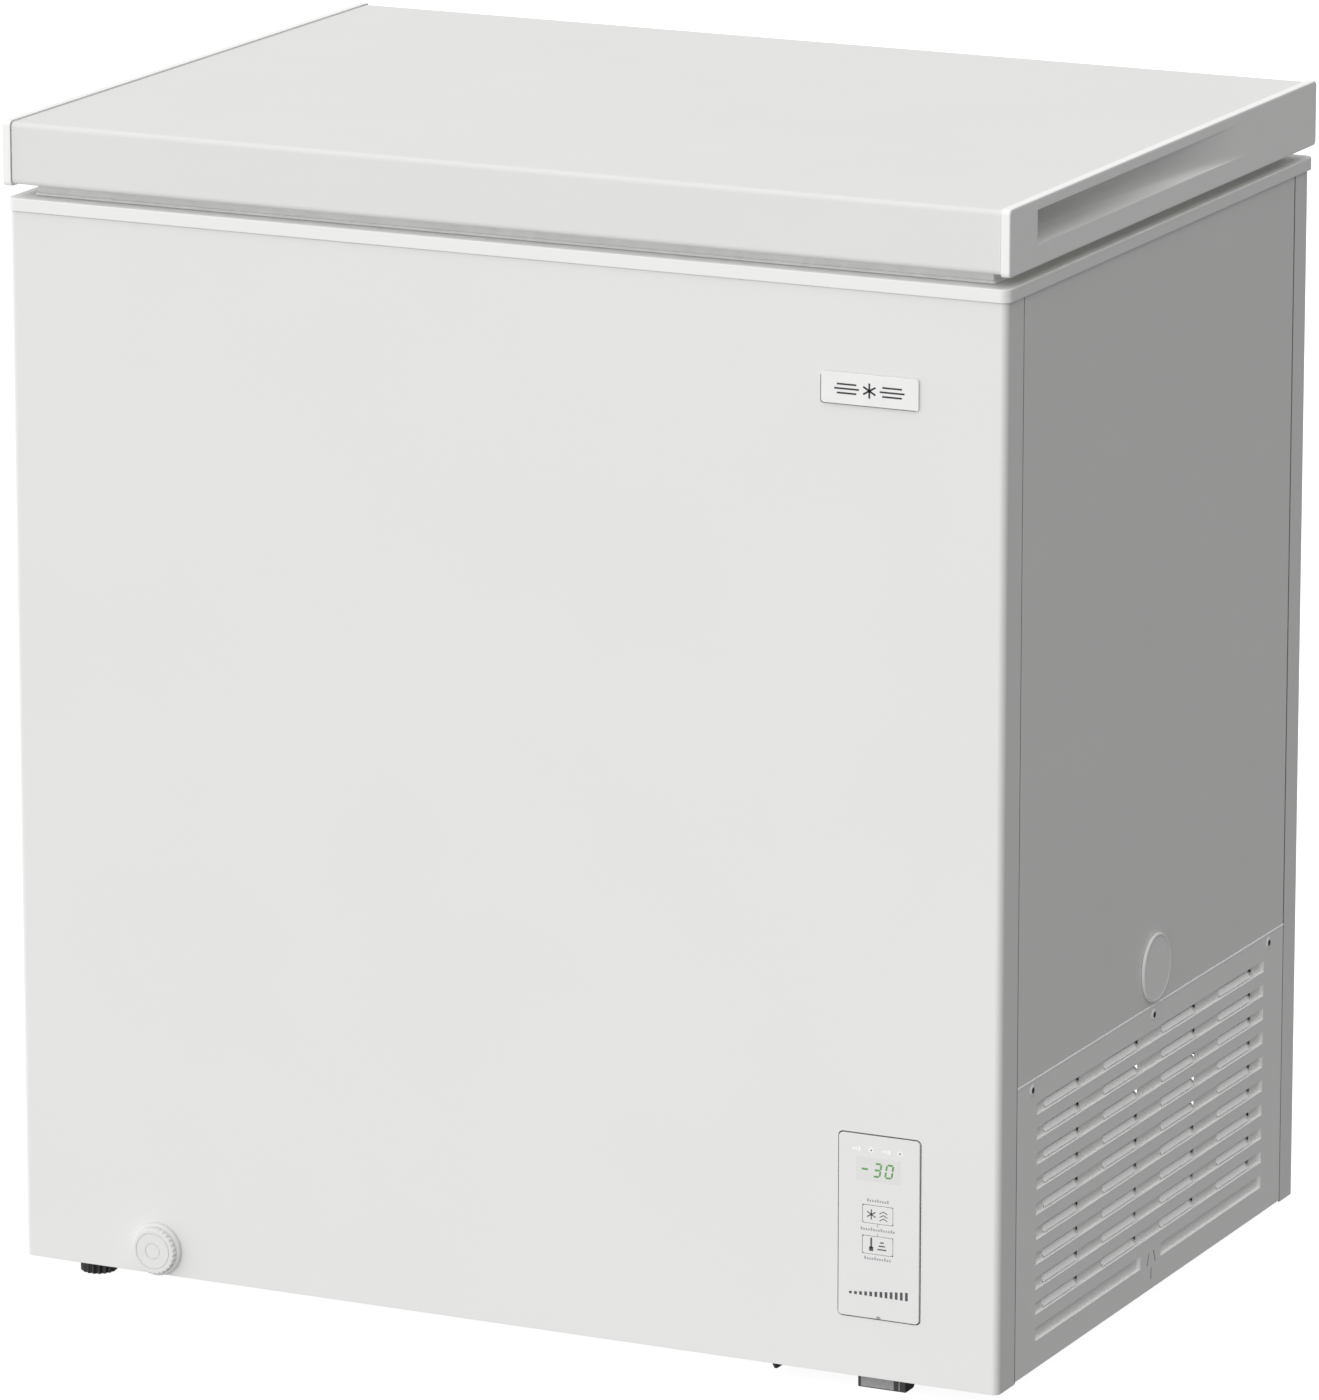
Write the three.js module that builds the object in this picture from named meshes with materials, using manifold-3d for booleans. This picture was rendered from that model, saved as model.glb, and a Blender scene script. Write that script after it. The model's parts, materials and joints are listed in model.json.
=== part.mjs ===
// A compact chest freezer: steel cabinet with a lid hinged at the rear, foamed walls, a stepped
// storage tub, a compressor bay behind a louvred grille, a control panel and a front drain.
//
// Design frame, in millimetres: x = 0 midway across the lid, y = 0 at the front of the lid and
// growing to the rear, z = 0 at the lower edge of the cabinet panels and growing upwards.
// The exported group moves that frame so that the origin lies at the bottom centre of the whole.

import * as THREE from "three";
import { mergeVertices } from "three/addons/utils/BufferGeometryUtils.js";
import Module from "manifold-3d";

const wasm = await Module();
wasm.setup();

// ---------------------------------------------------------------- driving dimensions

const GAP = 0.3; // clearance kept between touching pieces
const SHEET = 1.0; // wall of the painted sheet panels

const LID = { halfWidth: 400, depth: 568, bottom: 813, top: 861.5, cap: 6.8, panelLip: 1.0 };
const CABINET = { halfWidth: 396.9, front: 3.5, back: 563.5, top: 794.3, cornerRadius: 5 };
const SEAM = { front: 33, rear: 535.5, gap: 0.4 }; // where the wrapped panels end on each side
const TRIM = { halfWidth: 398.7, front: 1.8, back: 568.3, bottom: 794.6, top: 804.4, inset: 38, radius: 7 };
const TUB = { halfWidth: 338, front: 61.5, back: 505.5, floor: 55, rim: 803.5, radius: 14, wall: 1 };
const STEP = { x: 165, top: 290 }; // the tub steps over the compressor bay
const BAY = { x: 216, ceiling: 222, wall: 1.2 };
const COIL_GAP = 7.3; // room for the refrigerant tubes between foam and sheet
const FOAM_RADIUS = 20; // the foam block's upright edges
const FOOT = 13; // height of the feet below the cabinet
const HINGE = { x: 250, pinY: 580, pinZ: 812, pinRadius: 4, cheek: 20.5, thick: 2.5, reach: 591 };
const DRAIN_FRONT = -4.5; // front face of the drain cap, the foremost point of the freezer
const MIDDLE_Y = (DRAIN_FRONT + HINGE.reach) / 2; // halfway between the foremost and rearmost points
const GRILLE = {
  front: 33.4, back: 535.1, bottom: 1.5, top: 220, thick: 4, grooveDepth: 2.6,
  rows: 9, firstRow: 191.5, pitch: 18.7, rowHeight: 9, rowFront: 69.5, rowBack: 497,
  slots: 4, slotPitch: 109, slotLength: 66, firstSlot: 87.5,
  blindRow: { z0: 22, z1: 32, spans: [[69.5, 263.5], [302, 497]] },
  blade: [[0, 0], [0, 1.2], [-6, 6.4], [-6, 5.2]], // section of a louvre blade, inwards and upwards
  screwZ: 212, screws: [60.5, 283.5, 506],
};
const SCREW = { shank: 2, hole: 2.4, head: 3.6, headTop: 1.4, length: 12 };
const CONTROL = { x0: 271.7, x1: 335, z0: 44.9, z1: 181, radius: 3, room: 0.9, front: 2.6, deep: 14 };
const WINDOW = { x0: 285.7, x1: 319.5, z0: 147.4, z1: 164.4 };
const KEY = { x0: 290.4, x1: 314.6, height: 13.8, boostZ: 115.7, tempZ: 92.8, deep: 5.4 };
const BADGE = { x0: 255, x1: 330.5, z0: 712, z1: 735, thick: 1.2 };
const DRAIN = { x: -284.5, z: 19.5, bezel: 20, collar: 3.4, cap: 18, tube: 7.2, bore: 5.5, wellY: 110 };
const GRIP = { front: 48, back: 440, bottom: 828.5, top: 853.3, deep: 20 };
const COMPRESSOR = { x: 306, y: 190, radius: 62, bottom: 27.3, top: 182 };
const BASKET = { x0: -330, width: 210, depth: 190, wall: 3, reach: 18 };
const PLUG = { y: 284, z: 248, radius: 26, proud: 2.4, stem: 13 };

// ---------------------------------------------------------------- materials

const matte = (color, roughness, metalness = 0) =>
  new THREE.MeshStandardMaterial({ color, roughness, metalness });

const MATERIAL = {
  whitePaint: matte(0xe8e8e7, 0.35),
  whitePlastic: matte(0xe6e6e4, 0.45),
  keyPlastic: matte(0xe4e5e4, 0.5),
  liner: matte(0xeceded, 0.4),
  foam: matte(0xe9dfb8, 0.95),
  gasket: matte(0xb6b8b8, 0.7),
  blackPlastic: matte(0x1c1d1e, 0.6),
  blackPaint: matte(0x17181a, 0.4),
  zinc: matte(0xb9bcbf, 0.35, 1),
  brushed: matte(0xd9dadb, 0.3, 1),
  copper: matte(0xb87349, 0.3, 1),
  window: matte(0xd5d9d7, 0.15),
  led: matte(0x2fa84a, 0.4),
  board: matte(0x2a6b3c, 0.6),
  wire: matte(0xeeeeee, 0.35),
};

// ---------------------------------------------------------------- geometry helpers

// A closed solid from a three.js geometry.
function solid(geometry) {
  const bare = geometry.clone();
  bare.deleteAttribute("normal");
  bare.deleteAttribute("uv");
  const merged = mergeVertices(bare, 1e-4);
  return new wasm.Manifold(
    new wasm.Mesh({
      numProp: 3,
      vertProperties: merged.attributes.position.array,
      triVerts: new Uint32Array(merged.index.array),
    }),
  );
}

// A three.js geometry from a solid.
function geometryOf(body) {
  const mesh = body.getMesh();
  const geometry = new THREE.BufferGeometry();
  geometry.setAttribute("position", new THREE.BufferAttribute(mesh.vertProperties, 3));
  geometry.setIndex(new THREE.BufferAttribute(mesh.triVerts, 1));
  return geometry;
}

const joined = (...bodies) => bodies.reduce((sum, body) => sum.add(body));
const cut = (body, ...tools) => tools.reduce((rest, tool) => rest.subtract(tool), body);

// A box between two x, two y and two z values.
function box(x0, x1, y0, y1, z0, z1) {
  const geometry = new THREE.BoxGeometry(x1 - x0, y1 - y0, z1 - z0);
  return solid(geometry.translate((x0 + x1) / 2, (y0 + y1) / 2, (z0 + z1) / 2));
}

// Extrudes a shape along an axis from a to b. The shape's own x and y are the two other axes:
// y and z for an extrusion along x, x and z along y, x and y along z.
function extrude(shape, axis, a, b, curveSegments = 4) {
  const options = { depth: b - a, bevelEnabled: false, curveSegments };
  const geometry = new THREE.ExtrudeGeometry(shape, options);
  const basis = new THREE.Matrix4();
  if (axis === "x") {
    basis.makeBasis(new THREE.Vector3(0, 1, 0), new THREE.Vector3(0, 0, 1), new THREE.Vector3(1, 0, 0));
    basis.setPosition(a, 0, 0);
  } else if (axis === "y") {
    basis.makeBasis(new THREE.Vector3(1, 0, 0), new THREE.Vector3(0, 0, 1), new THREE.Vector3(0, -1, 0));
    basis.setPosition(0, b, 0);
  } else {
    basis.setPosition(0, 0, a);
  }
  return solid(geometry.applyMatrix4(basis));
}

// A rectangle with rounded corners.
function roundedRect(u0, u1, v0, v1, r) {
  const shape = new THREE.Shape();
  shape.moveTo(u0 + r, v0);
  shape.lineTo(u1 - r, v0);
  shape.absarc(u1 - r, v0 + r, r, -Math.PI / 2, 0);
  shape.lineTo(u1, v1 - r);
  shape.absarc(u1 - r, v1 - r, r, 0, Math.PI / 2);
  shape.lineTo(u0 + r, v1);
  shape.absarc(u0 + r, v1 - r, r, Math.PI / 2, Math.PI);
  shape.lineTo(u0, v0 + r);
  shape.absarc(u0 + r, v0 + r, r, Math.PI, 1.5 * Math.PI);
  return shape;
}

function polygon(points) {
  return new THREE.Shape(points.map(([u, v]) => new THREE.Vector2(u, v)));
}

// A cylinder along an axis from a to b, centred on (u, v) in the two other axes.
function cylinder(axis, u, v, radius, a, b, sides = 24) {
  const geometry = new THREE.CylinderGeometry(radius, radius, b - a, sides);
  const middle = (a + b) / 2;
  if (axis === "z") return solid(geometry.rotateX(Math.PI / 2).translate(u, v, middle));
  if (axis === "x") return solid(geometry.rotateZ(Math.PI / 2).translate(middle, u, v));
  return solid(geometry.translate(u, middle, v));
}

// A turned body about a vertical axis at (x, y), from its [radius, z] outline.
function turned(x, y, outline, sides = 24) {
  const profile = outline.map(([r, z]) => new THREE.Vector2(r, z));
  const geometry = new THREE.LatheGeometry(profile, sides);
  return solid(geometry.rotateX(Math.PI / 2).translate(x, y, 0));
}

// A round bar that follows points, mitred where they turn.
function bar(points, radius, sides = 6) {
  const route = points.map((p) => new THREE.Vector3(...p));
  const rings = [];
  const across = new THREE.Vector3(0.31, 0.17, 0.93);
  route.forEach((point, i) => {
    const before = route[Math.max(i - 1, 0)];
    const after = route[Math.min(i + 1, route.length - 1)];
    const arriving = point.clone().sub(before).normalize();
    const leaving = after.clone().sub(point).normalize();
    const along = arriving.add(leaving).normalize();
    across.addScaledVector(along, -across.dot(along)).normalize();
    const side = new THREE.Vector3().crossVectors(along, across);
    const ring = [];
    for (let k = 0; k < sides; k++) {
      const angle = (k / sides) * 2 * Math.PI;
      const spoke = across.clone().multiplyScalar(radius * Math.cos(angle));
      ring.push(spoke.addScaledVector(side, radius * Math.sin(angle)).add(point).toArray());
    }
    rings.push(ring);
  });
  return loft(rings);
}

// A closed body between rings of equal point counts: each ring is a list of [x, y, z]. The rings
// run anticlockwise as seen against the direction from the first ring to the last.
function loft(rings) {
  const count = rings[0].length;
  const positions = rings.flat(2);
  const faces = [];
  for (let ring = 0; ring + 1 < rings.length; ring++) {
    for (let i = 0; i < count; i++) {
      const a = ring * count + i;
      const b = ring * count + ((i + 1) % count);
      faces.push(a, b, b + count, a, b + count, a + count);
    }
  }
  const last = (rings.length - 1) * count;
  for (let i = 1; i + 1 < count; i++) faces.push(0, i + 1, i, last, last + i, last + i + 1);
  const geometry = new THREE.BufferGeometry();
  geometry.setAttribute("position", new THREE.Float32BufferAttribute(positions, 3));
  geometry.setIndex(faces);
  return solid(geometry);
}

// A named mesh of one body.
function piece(name, body, material) {
  const mesh = new THREE.Mesh(geometryOf(body), material);
  mesh.name = name;
  return mesh;
}

// ---------------------------------------------------------------- cabinet shell

// A U-shaped sheet, wrapped round the front or the rear of the cabinet.
function wrappedSheet(y0, y1) {
  const { halfWidth: w, front, back, top, cornerRadius: r } = CABINET;
  const outer = extrude(roundedRect(-w, w, front, back, r), "z", 0, top, 8);
  const inside = roundedRect(-w + SHEET, w - SHEET, front + SHEET, back - SHEET, r - SHEET);
  const hollow = extrude(inside, "z", -1, top + 1, 8);
  return cut(outer, hollow).intersect(box(-w - 1, w + 1, y0, y1, -1, top + 1));
}

function frontPanel() {
  const sheet = wrappedSheet(CABINET.front - 1, SEAM.front);
  const { x0, x1, z0, z1, radius, room } = CONTROL;
  const opening = roundedRect(x0 - room, x1 + room, z0 - room, z1 + room, radius + room);
  const aperture = extrude(opening, "y", 0, 8, 6);
  const drainHole = cylinder("y", DRAIN.x, DRAIN.z, 10.5, 0, 8);
  return piece("front_panel", cut(sheet, aperture, drainHole), MATERIAL.whitePaint);
}

const REAR_VENT = { x0: 225, x1: 330, z0: 52, z1: 100 };
const CORD_INLET = { x: 352, z: 62, radius: 9 };

function rearPanel() {
  const y = CABINET.back;
  const sheet = wrappedSheet(SEAM.rear + SEAM.gap, y + 1);
  const vent = box(REAR_VENT.x0, REAR_VENT.x1, y - 5, y + 5, REAR_VENT.z0, REAR_VENT.z1);
  const inlet = cylinder("y", CORD_INLET.x, CORD_INLET.z, CORD_INLET.radius, y - 5, y + 5);
  return piece("rear_panel", cut(sheet, vent, inlet), MATERIAL.whitePaint);
}

function sidePanel(name, side) {
  const z0 = side > 0 ? GRILLE.top + GAP : 0;
  const [x0, x1] = [CABINET.halfWidth - SHEET, CABINET.halfWidth].map((x) => x * side).sort((a, b) => a - b);
  const sheet = box(x0, x1, SEAM.front + SEAM.gap, SEAM.rear, z0, CABINET.top);
  const hole = cylinder("x", PLUG.y, PLUG.z, PLUG.stem + GAP, x0 - 2, x1 + 2);
  return piece(name, side > 0 ? cut(sheet, hole) : sheet, MATERIAL.whitePaint);
}

// Cap that closes the hole through which the walls are foamed.
function sidePlug() {
  const x = CABINET.halfWidth + GAP;
  const head = cylinder("x", PLUG.y, PLUG.z, PLUG.radius, x, x + PLUG.proud - 0.8, 32);
  const face = cylinder("x", PLUG.y, PLUG.z, PLUG.radius - 1.2, x, x + PLUG.proud, 32);
  const stem = cylinder("x", PLUG.y, PLUG.z, PLUG.stem, x - 6, x + 1);
  return piece("foam_hole_plug", joined(head, face, stem), MATERIAL.whitePlastic);
}

function topTrim() {
  const { halfWidth: w, front, back, bottom, top, inset, radius } = TRIM;
  const ring = extrude(roundedRect(-w, w, front, back, radius), "z", bottom, top);
  const mouth = box(-w + inset, w - inset, front + inset, back - inset - 2, bottom - 1, top + 1);
  return piece("top_trim", cut(ring, mouth), MATERIAL.whitePlastic);
}

function basePan() {
  const inner = CABINET.halfWidth - SHEET - GAP;
  const [y0, y1] = [CABINET.front + SHEET + GAP, CABINET.back - SHEET - GAP];
  const plate = extrude(roundedRect(-inner, BAY.x - 6, y0, y1, CABINET.cornerRadius), "z", 0.3, 1.5);
  const holes = leftFeet().map(({ x, y }) => cylinder("z", x, y, 4.8, -1, 3));
  return piece("base_pan", cut(plate, ...holes), MATERIAL.zinc);
}

// ---------------------------------------------------------------- tub, foam and coils

// The tub's space: a full-width upper part and a deeper left part, grown by a margin.
function tubSpace(grow, floorGrow, z1, radius) {
  const { halfWidth: w, front, back, floor } = TUB;
  const r = Math.max(radius, 1);
  const upper = roundedRect(-w - grow, w + grow, front - grow, back + grow, r);
  const lower = roundedRect(-w - grow, STEP.x + grow, front - grow, back + grow, r);
  return joined(
    extrude(upper, "z", STEP.top - floorGrow, z1),
    extrude(lower, "z", floor - floorGrow, STEP.top + 2),
  );
}

function innerLiner() {
  const shell = tubSpace(TUB.wall, TUB.wall, TUB.rim, TUB.radius + TUB.wall);
  const { halfWidth: w, inset, front, back } = TRIM;
  const [x, y0, y1] = [w - inset - GAP, front + inset + GAP, back - inset - 2 - GAP];
  const rim = box(-x, x, y0, y1, TUB.rim - 2, TUB.rim);
  const drainHole = cylinder("z", DRAIN.x, DRAIN.wellY, 9, 40, 60);
  const hollow = tubSpace(0, 0, TUB.rim + 5, TUB.radius);
  return piece("inner_liner", cut(joined(shell, rim), hollow, drainHole), MATERIAL.liner);
}

function cabinetFoam() {
  const inner = SHEET + COIL_GAP;
  const { halfWidth: w, front, back } = CABINET;
  const outline = roundedRect(-w + inner, w - inner, front + inner, back - inner, FOAM_RADIUS);
  const block = extrude(outline, "z", 1.5 + GAP, CABINET.top - 0.5);
  const grow = TUB.wall + COIL_GAP;
  const hollow = tubSpace(grow, TUB.wall + GAP, CABINET.top + 5, TUB.radius);
  const bay = box(BAY.x - 3, w, 0, back, -5, BAY.ceiling + BAY.wall + GAP);
  const well = box(DRAIN.x - 11, DRAIN.x + 11, 0, DRAIN.wellY + 11, 8, 60);
  const plugRoom = cylinder("x", PLUG.y, PLUG.z, PLUG.stem + 2, w - 14, w);
  const feet = leftFeet().map(({ x, y }) => cylinder("z", x, y, 6, 0, 14));
  return piece("cabinet_foam", cut(block, hollow, bay, well, plugRoom, ...feet), MATERIAL.foam);
}

// A refrigerant tube wound round the tub as a stack of rounded rectangular turns.
function windings(halfX, y0, y1, corner, z0, rise, turns, radius) {
  const centres = [
    [halfX - corner, y0 + corner, -Math.PI / 2], [halfX - corner, y1 - corner, 0],
    [-halfX + corner, y1 - corner, Math.PI / 2], [-halfX + corner, y0 + corner, Math.PI],
  ];
  const arcSteps = 3;
  const points = [];
  for (let quarter = 0; quarter < turns * 4; quarter++) {
    const [x, y, start] = centres[quarter % 4];
    for (let i = 0; i <= arcSteps; i++) {
      const angle = start + (i / arcSteps) * (Math.PI / 2);
      const z = z0 + (rise * quarter) / 4;
      points.push([x + corner * Math.cos(angle), y + corner * Math.sin(angle), z]);
    }
  }
  return bar(points, radius);
}

function evaporatorCoil() {
  const off = TUB.wall + COIL_GAP / 2;
  const corner = TUB.radius + off;
  const body = windings(TUB.halfWidth + off, TUB.front - off, TUB.back + off, corner, 340, 95, 4, 2.6);
  return piece("evaporator_coil", body, MATERIAL.copper);
}

function condenserCoil() {
  const off = SHEET + COIL_GAP / 2;
  const { halfWidth: w, front, back } = CABINET;
  const corner = FOAM_RADIUS + COIL_GAP / 2;
  const body = windings(w - off, front + off, back - off, corner, 320, 110, 4, 2.4);
  return piece("condenser_coil", body, MATERIAL.copper);
}

// ---------------------------------------------------------------- compressor bay

function bayWall() {
  const [y0, y1] = [CABINET.front + SHEET + GAP, CABINET.back - SHEET - GAP];
  const x1 = CABINET.halfWidth - SHEET - GAP - 6;
  const upright = box(BAY.x - BAY.wall, BAY.x, y0, y1, 4, BAY.ceiling + BAY.wall);
  const ceiling = box(BAY.x - BAY.wall, x1, y0, y1, BAY.ceiling, BAY.ceiling + BAY.wall);
  return piece("bay_wall", joined(upright, ceiling), MATERIAL.zinc);
}

// Louvred side grille: recessed rows, each with slots whose blades rise inwards.
function ventGrille() {
  const { front, back, bottom, top, thick, grooveDepth } = GRILLE;
  const x1 = CABINET.halfWidth;
  let body = box(x1 - thick, x1, front, back, bottom, top);
  const blades = [];
  const recess = x1 - grooveDepth;
  for (let row = 0; row < GRILLE.rows; row++) {
    const z = GRILLE.firstRow - row * GRILLE.pitch;
    const grooveZ = z + GRILLE.rowHeight;
    body = body.subtract(box(recess, x1 + 1, GRILLE.rowFront, GRILLE.rowBack, z, grooveZ));
    for (let slot = 0; slot < GRILLE.slots; slot++) {
      const y = GRILLE.firstSlot + slot * GRILLE.slotPitch;
      body = body.subtract(box(x1 - thick - 1, recess + 1, y, y + GRILLE.slotLength, z + 1, grooveZ - 0.6));
      const blade = polygon(GRILLE.blade.map(([u, v]) => [recess + u, z + v]));
      blades.push(extrude(blade, "y", y - 0.5, y + GRILLE.slotLength + 0.5));
    }
  }
  const { spans, z0: blindZ0, z1: blindZ1 } = GRILLE.blindRow;
  for (const [y0, y1] of spans) body = body.subtract(box(recess, x1 + 1, y0, y1, blindZ0, blindZ1));
  const keep = joined(...blades).intersect(box(x1 - 12, recess - 0.2, front, back, bottom, top));
  const holes = GRILLE.screws.map((y) => cylinder("x", y, GRILLE.screwZ, SCREW.hole, x1 - 8, x1 + 2, 12));
  return piece("vent_grille", cut(joined(body, keep), ...holes), MATERIAL.whitePlastic);
}

function grilleScrew(name, y) {
  const x = CABINET.halfWidth;
  const z = GRILLE.screwZ;
  const shank = cylinder("x", y, z, SCREW.shank, x - SCREW.length, x + 1, 12);
  const head = cylinder("x", y, z, SCREW.head, x + GAP, x + SCREW.headTop, 16);
  const slot = box(x + SCREW.headTop - 0.5, x + 2, y - 0.5, y + 0.5, z - SCREW.head - 1, z + SCREW.head + 1);
  return piece(name, cut(joined(shank, head), slot), MATERIAL.zinc);
}

function compressorTray() {
  const [x0, x1] = [BAY.x - 3 + GAP, CABINET.halfWidth - GRILLE.thick - 8];
  const [y0, y1] = [CABINET.front + SHEET + 3, CABINET.back - SHEET - 2];
  const plate = box(x0, x1, y0, y1, 1.5, 3.5);
  const outline = polygon([[y0 + 3, 3], [y0 + 12, -9], [y1 - 12, -9], [y1 - 3, 3]]);
  const fin = extrude(outline, "x", x0, x0 + 2.5);
  return piece("compressor_tray", joined(plate, fin), MATERIAL.blackPaint);
}

function compressorShell() {
  const { x, y, radius: r, bottom, top } = COMPRESSOR;
  const outline = [
    [0, bottom], [r * 0.62, bottom], [r * 0.93, bottom + 16], [r * 0.97, bottom + 68],
    [r, bottom + 70], [r, bottom + 78], [r * 0.97, bottom + 80], [r * 0.95, top - 34],
    [r * 0.8, top - 12], [r * 0.45, top - 2], [0, top],
  ];
  return piece("compressor_shell", turned(x, y, outline, 32), MATERIAL.blackPaint);
}

const mountPlaces = () => {
  const { x, y } = COMPRESSOR;
  return [[x - 62, y - 58], [x + 62, y - 58], [x - 62, y + 58], [x + 62, y + 58]];
};

function compressorBracket() {
  const { x, y, bottom } = COMPRESSOR;
  const plate = extrude(roundedRect(x - 74, x + 74, y - 70, y + 70, 12), "z", bottom - 3.3, bottom - GAP);
  const holes = mountPlaces().map(([u, v]) => cylinder("z", u, v, 5, 0, bottom, 16));
  return piece("compressor_bracket", cut(plate, ...holes), MATERIAL.blackPaint);
}

function grommet(name, [x, y]) {
  const z0 = 3.5 + GAP;
  const z1 = COMPRESSOR.bottom - 3.3 - GAP;
  const outline = [[0, z0], [9, z0], [9, z0 + 5], [7, z0 + 8], [9, z1 - 3], [9, z1], [0, z1]];
  return piece(name, turned(x, y, outline, 16), MATERIAL.blackPlastic);
}

function relayBox() {
  const { x, y, radius } = COMPRESSOR;
  const face = x - radius - 0.6;
  const body = extrude(roundedRect(y - 22, y + 22, 70, 126, 4), "x", face - 24, face);
  return piece("compressor_relay_box", body, MATERIAL.blackPlastic);
}

const DRIER = { x: 352, y: 430, z0: 60, z1: 165 };

function filterDrier() {
  const { x, y, z0, z1 } = DRIER;
  const outline = [[0, z0], [3, z0], [3, z0 + 8], [9, z0 + 18], [9, z1 - 18], [3, z1 - 8], [3, z1], [0, z1]];
  return piece("filter_drier", turned(x, y, outline, 16), MATERIAL.copper);
}

function pipe(name, points) {
  return piece(name, bar(points, 3, 8), MATERIAL.copper);
}

function suctionPipe() {
  const { x, y, top } = COMPRESSOR;
  const z = top + 1.5;
  return pipe("suction_pipe", [
    [x + 8, y, z + 3], [x + 8, y + 20, z + 14], [x + 10, y + 150, z + 16], [x + 10, y + 230, z + 20],
    [x + 10, y + 250, BAY.ceiling - 4],
  ]);
}

function dischargePipe() {
  const { x, y, radius } = COMPRESSOR;
  return pipe("discharge_pipe", [
    [x + 10, y + radius + 4, 110], [x + 14, y + radius + 40, 112], [x + 30, y + radius + 90, 160],
    [DRIER.x, DRIER.y, DRIER.z1 + 20], [DRIER.x, DRIER.y, DRIER.z1 + 3.4],
  ]);
}

function cordInlet() {
  const { x, z, radius } = CORD_INLET;
  const y = CABINET.back;
  const collar = cylinder("y", x, z, radius + 4, y + GAP, y + 4, 24);
  const sleeve = cylinder("y", x, z, radius - GAP, y - 14, y + 2, 24);
  const bore = cylinder("y", x, z, 4, y - 20, y + 10, 16);
  return piece("cord_inlet", cut(joined(collar, sleeve), bore), MATERIAL.blackPlastic);
}

// ---------------------------------------------------------------- feet

const LEVELLER = { ribs: 24, radius: 14, ribDepth: 0.8, stud: 4 };
const BLOCK = { x0: 280.5, x1: 318.5, top: 1.2, chamfer: 14 };

const leftFeet = () => [
  { name: "levelling_foot_front", x: -350, y: 31.5 },
  { name: "levelling_foot_rear", x: -350, y: 535 },
];

function levellingFoot({ name, x, y }) {
  const { ribs, radius, ribDepth, stud: studRadius } = LEVELLER;
  const outline = new THREE.Shape();
  for (let i = 0; i < ribs * 2; i++) {
    const angle = (i / (ribs * 2)) * 2 * Math.PI;
    const r = i % 2 ? radius - ribDepth : radius;
    const point = [x + r * Math.cos(angle), y + r * Math.sin(angle)];
    if (i === 0) outline.moveTo(...point);
    else outline.lineTo(...point);
  }
  outline.closePath();
  const pad = extrude(outline, "z", -FOOT, -1);
  const stud = cylinder("z", x, y, studRadius, -2, 10, 16);
  return piece(name, joined(pad, stud), MATERIAL.blackPlastic);
}

function blockFoot(name, y0, y1, frontward) {
  const { x0, x1, top, chamfer } = BLOCK;
  const slope = frontward ? [[y0, -FOOT], [y1 - chamfer, -FOOT], [y1, top], [y0, top]]
    : [[y0 + chamfer, -FOOT], [y1, -FOOT], [y1, top], [y0, top]];
  return piece(name, extrude(polygon(slope), "x", x0, x1), MATERIAL.blackPlastic);
}

// ---------------------------------------------------------------- control panel

function controlBezel() {
  const { x0, x1, z0, z1, radius, front, deep } = CONTROL;
  const plate = extrude(roundedRect(x0, x1, z0, z1, radius), "y", front, deep, 6);
  const hollow = box(x0 + 3, x1 - 3, front + 2, deep + 1, z0 + 3, z1 - 3);
  const window = box(WINDOW.x0, WINDOW.x1, 0, deep, WINDOW.z0, WINDOW.z1);
  const keys = [KEY.boostZ, KEY.tempZ].map((z) => box(KEY.x0, KEY.x1, 0, deep, z, z + KEY.height));
  return piece("control_bezel", cut(plate, hollow, window, ...keys), MATERIAL.whitePlastic);
}

function displayWindow() {
  const { x0, x1, z0, z1 } = WINDOW;
  const body = box(x0 + GAP, x1 - GAP, CONTROL.front, CONTROL.front + 1.6, z0 + GAP, z1 - GAP);
  return piece("display_window", body, MATERIAL.window);
}

function key(name, z) {
  const { x0, x1, height } = KEY;
  const [y0, y1] = [CONTROL.front, CONTROL.front + KEY.deep];
  const edge = 0.35;
  const cap = extrude(roundedRect(x0 + edge, x1 - edge, z + edge, z + height - edge, 1.2), "y", y0, y1);
  return piece(name, cap, MATERIAL.keyPlastic);
}

function displayModule() {
  const { x0, x1, z0, z1 } = WINDOW;
  const y = CONTROL.front + 1.6 + GAP;
  return piece("display_module", box(x0 - 2, x1 + 2, y + 0.2, y + 5.5, z0 - 2, z1 + 2), MATERIAL.led);
}

function controlBoard() {
  const { x0, x1, z0, z1 } = CONTROL;
  const y = CONTROL.front + 9;
  return piece("control_board", box(x0 + 5, x1 - 5, y, y + 1.6, z0 + 8, z1 - 5), MATERIAL.board);
}

function controlCover() {
  const { x0, x1, z0, z1, deep } = CONTROL;
  const y0 = deep + GAP;
  const shell = box(x0 + 1, x1 - 1, y0, y0 + 20, z0 + 1, z1 - 1);
  const hollow = box(x0 + 3, x1 - 3, y0 - 1, y0 + 18, z0 + 3, z1 - 3);
  return piece("control_cover", cut(shell, hollow), MATERIAL.blackPlastic);
}

function badgePlate() {
  const { x0, x1, z0, z1, thick } = BADGE;
  const y = CABINET.front - GAP;
  return piece("badge_plate", extrude(roundedRect(x0, x1, z0, z1, 2), "y", y - thick, y), MATERIAL.brushed);
}

// ---------------------------------------------------------------- drain

function drainBezel() {
  const y = CABINET.front - GAP;
  const ring = cylinder("y", DRAIN.x, DRAIN.z, DRAIN.bezel, y - DRAIN.collar, y, 32);
  const bore = cylinder("y", DRAIN.x, DRAIN.z, 8, y - 6, y + 4, 24);
  return piece("drain_bezel", cut(ring, bore), MATERIAL.whitePlastic);
}

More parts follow.
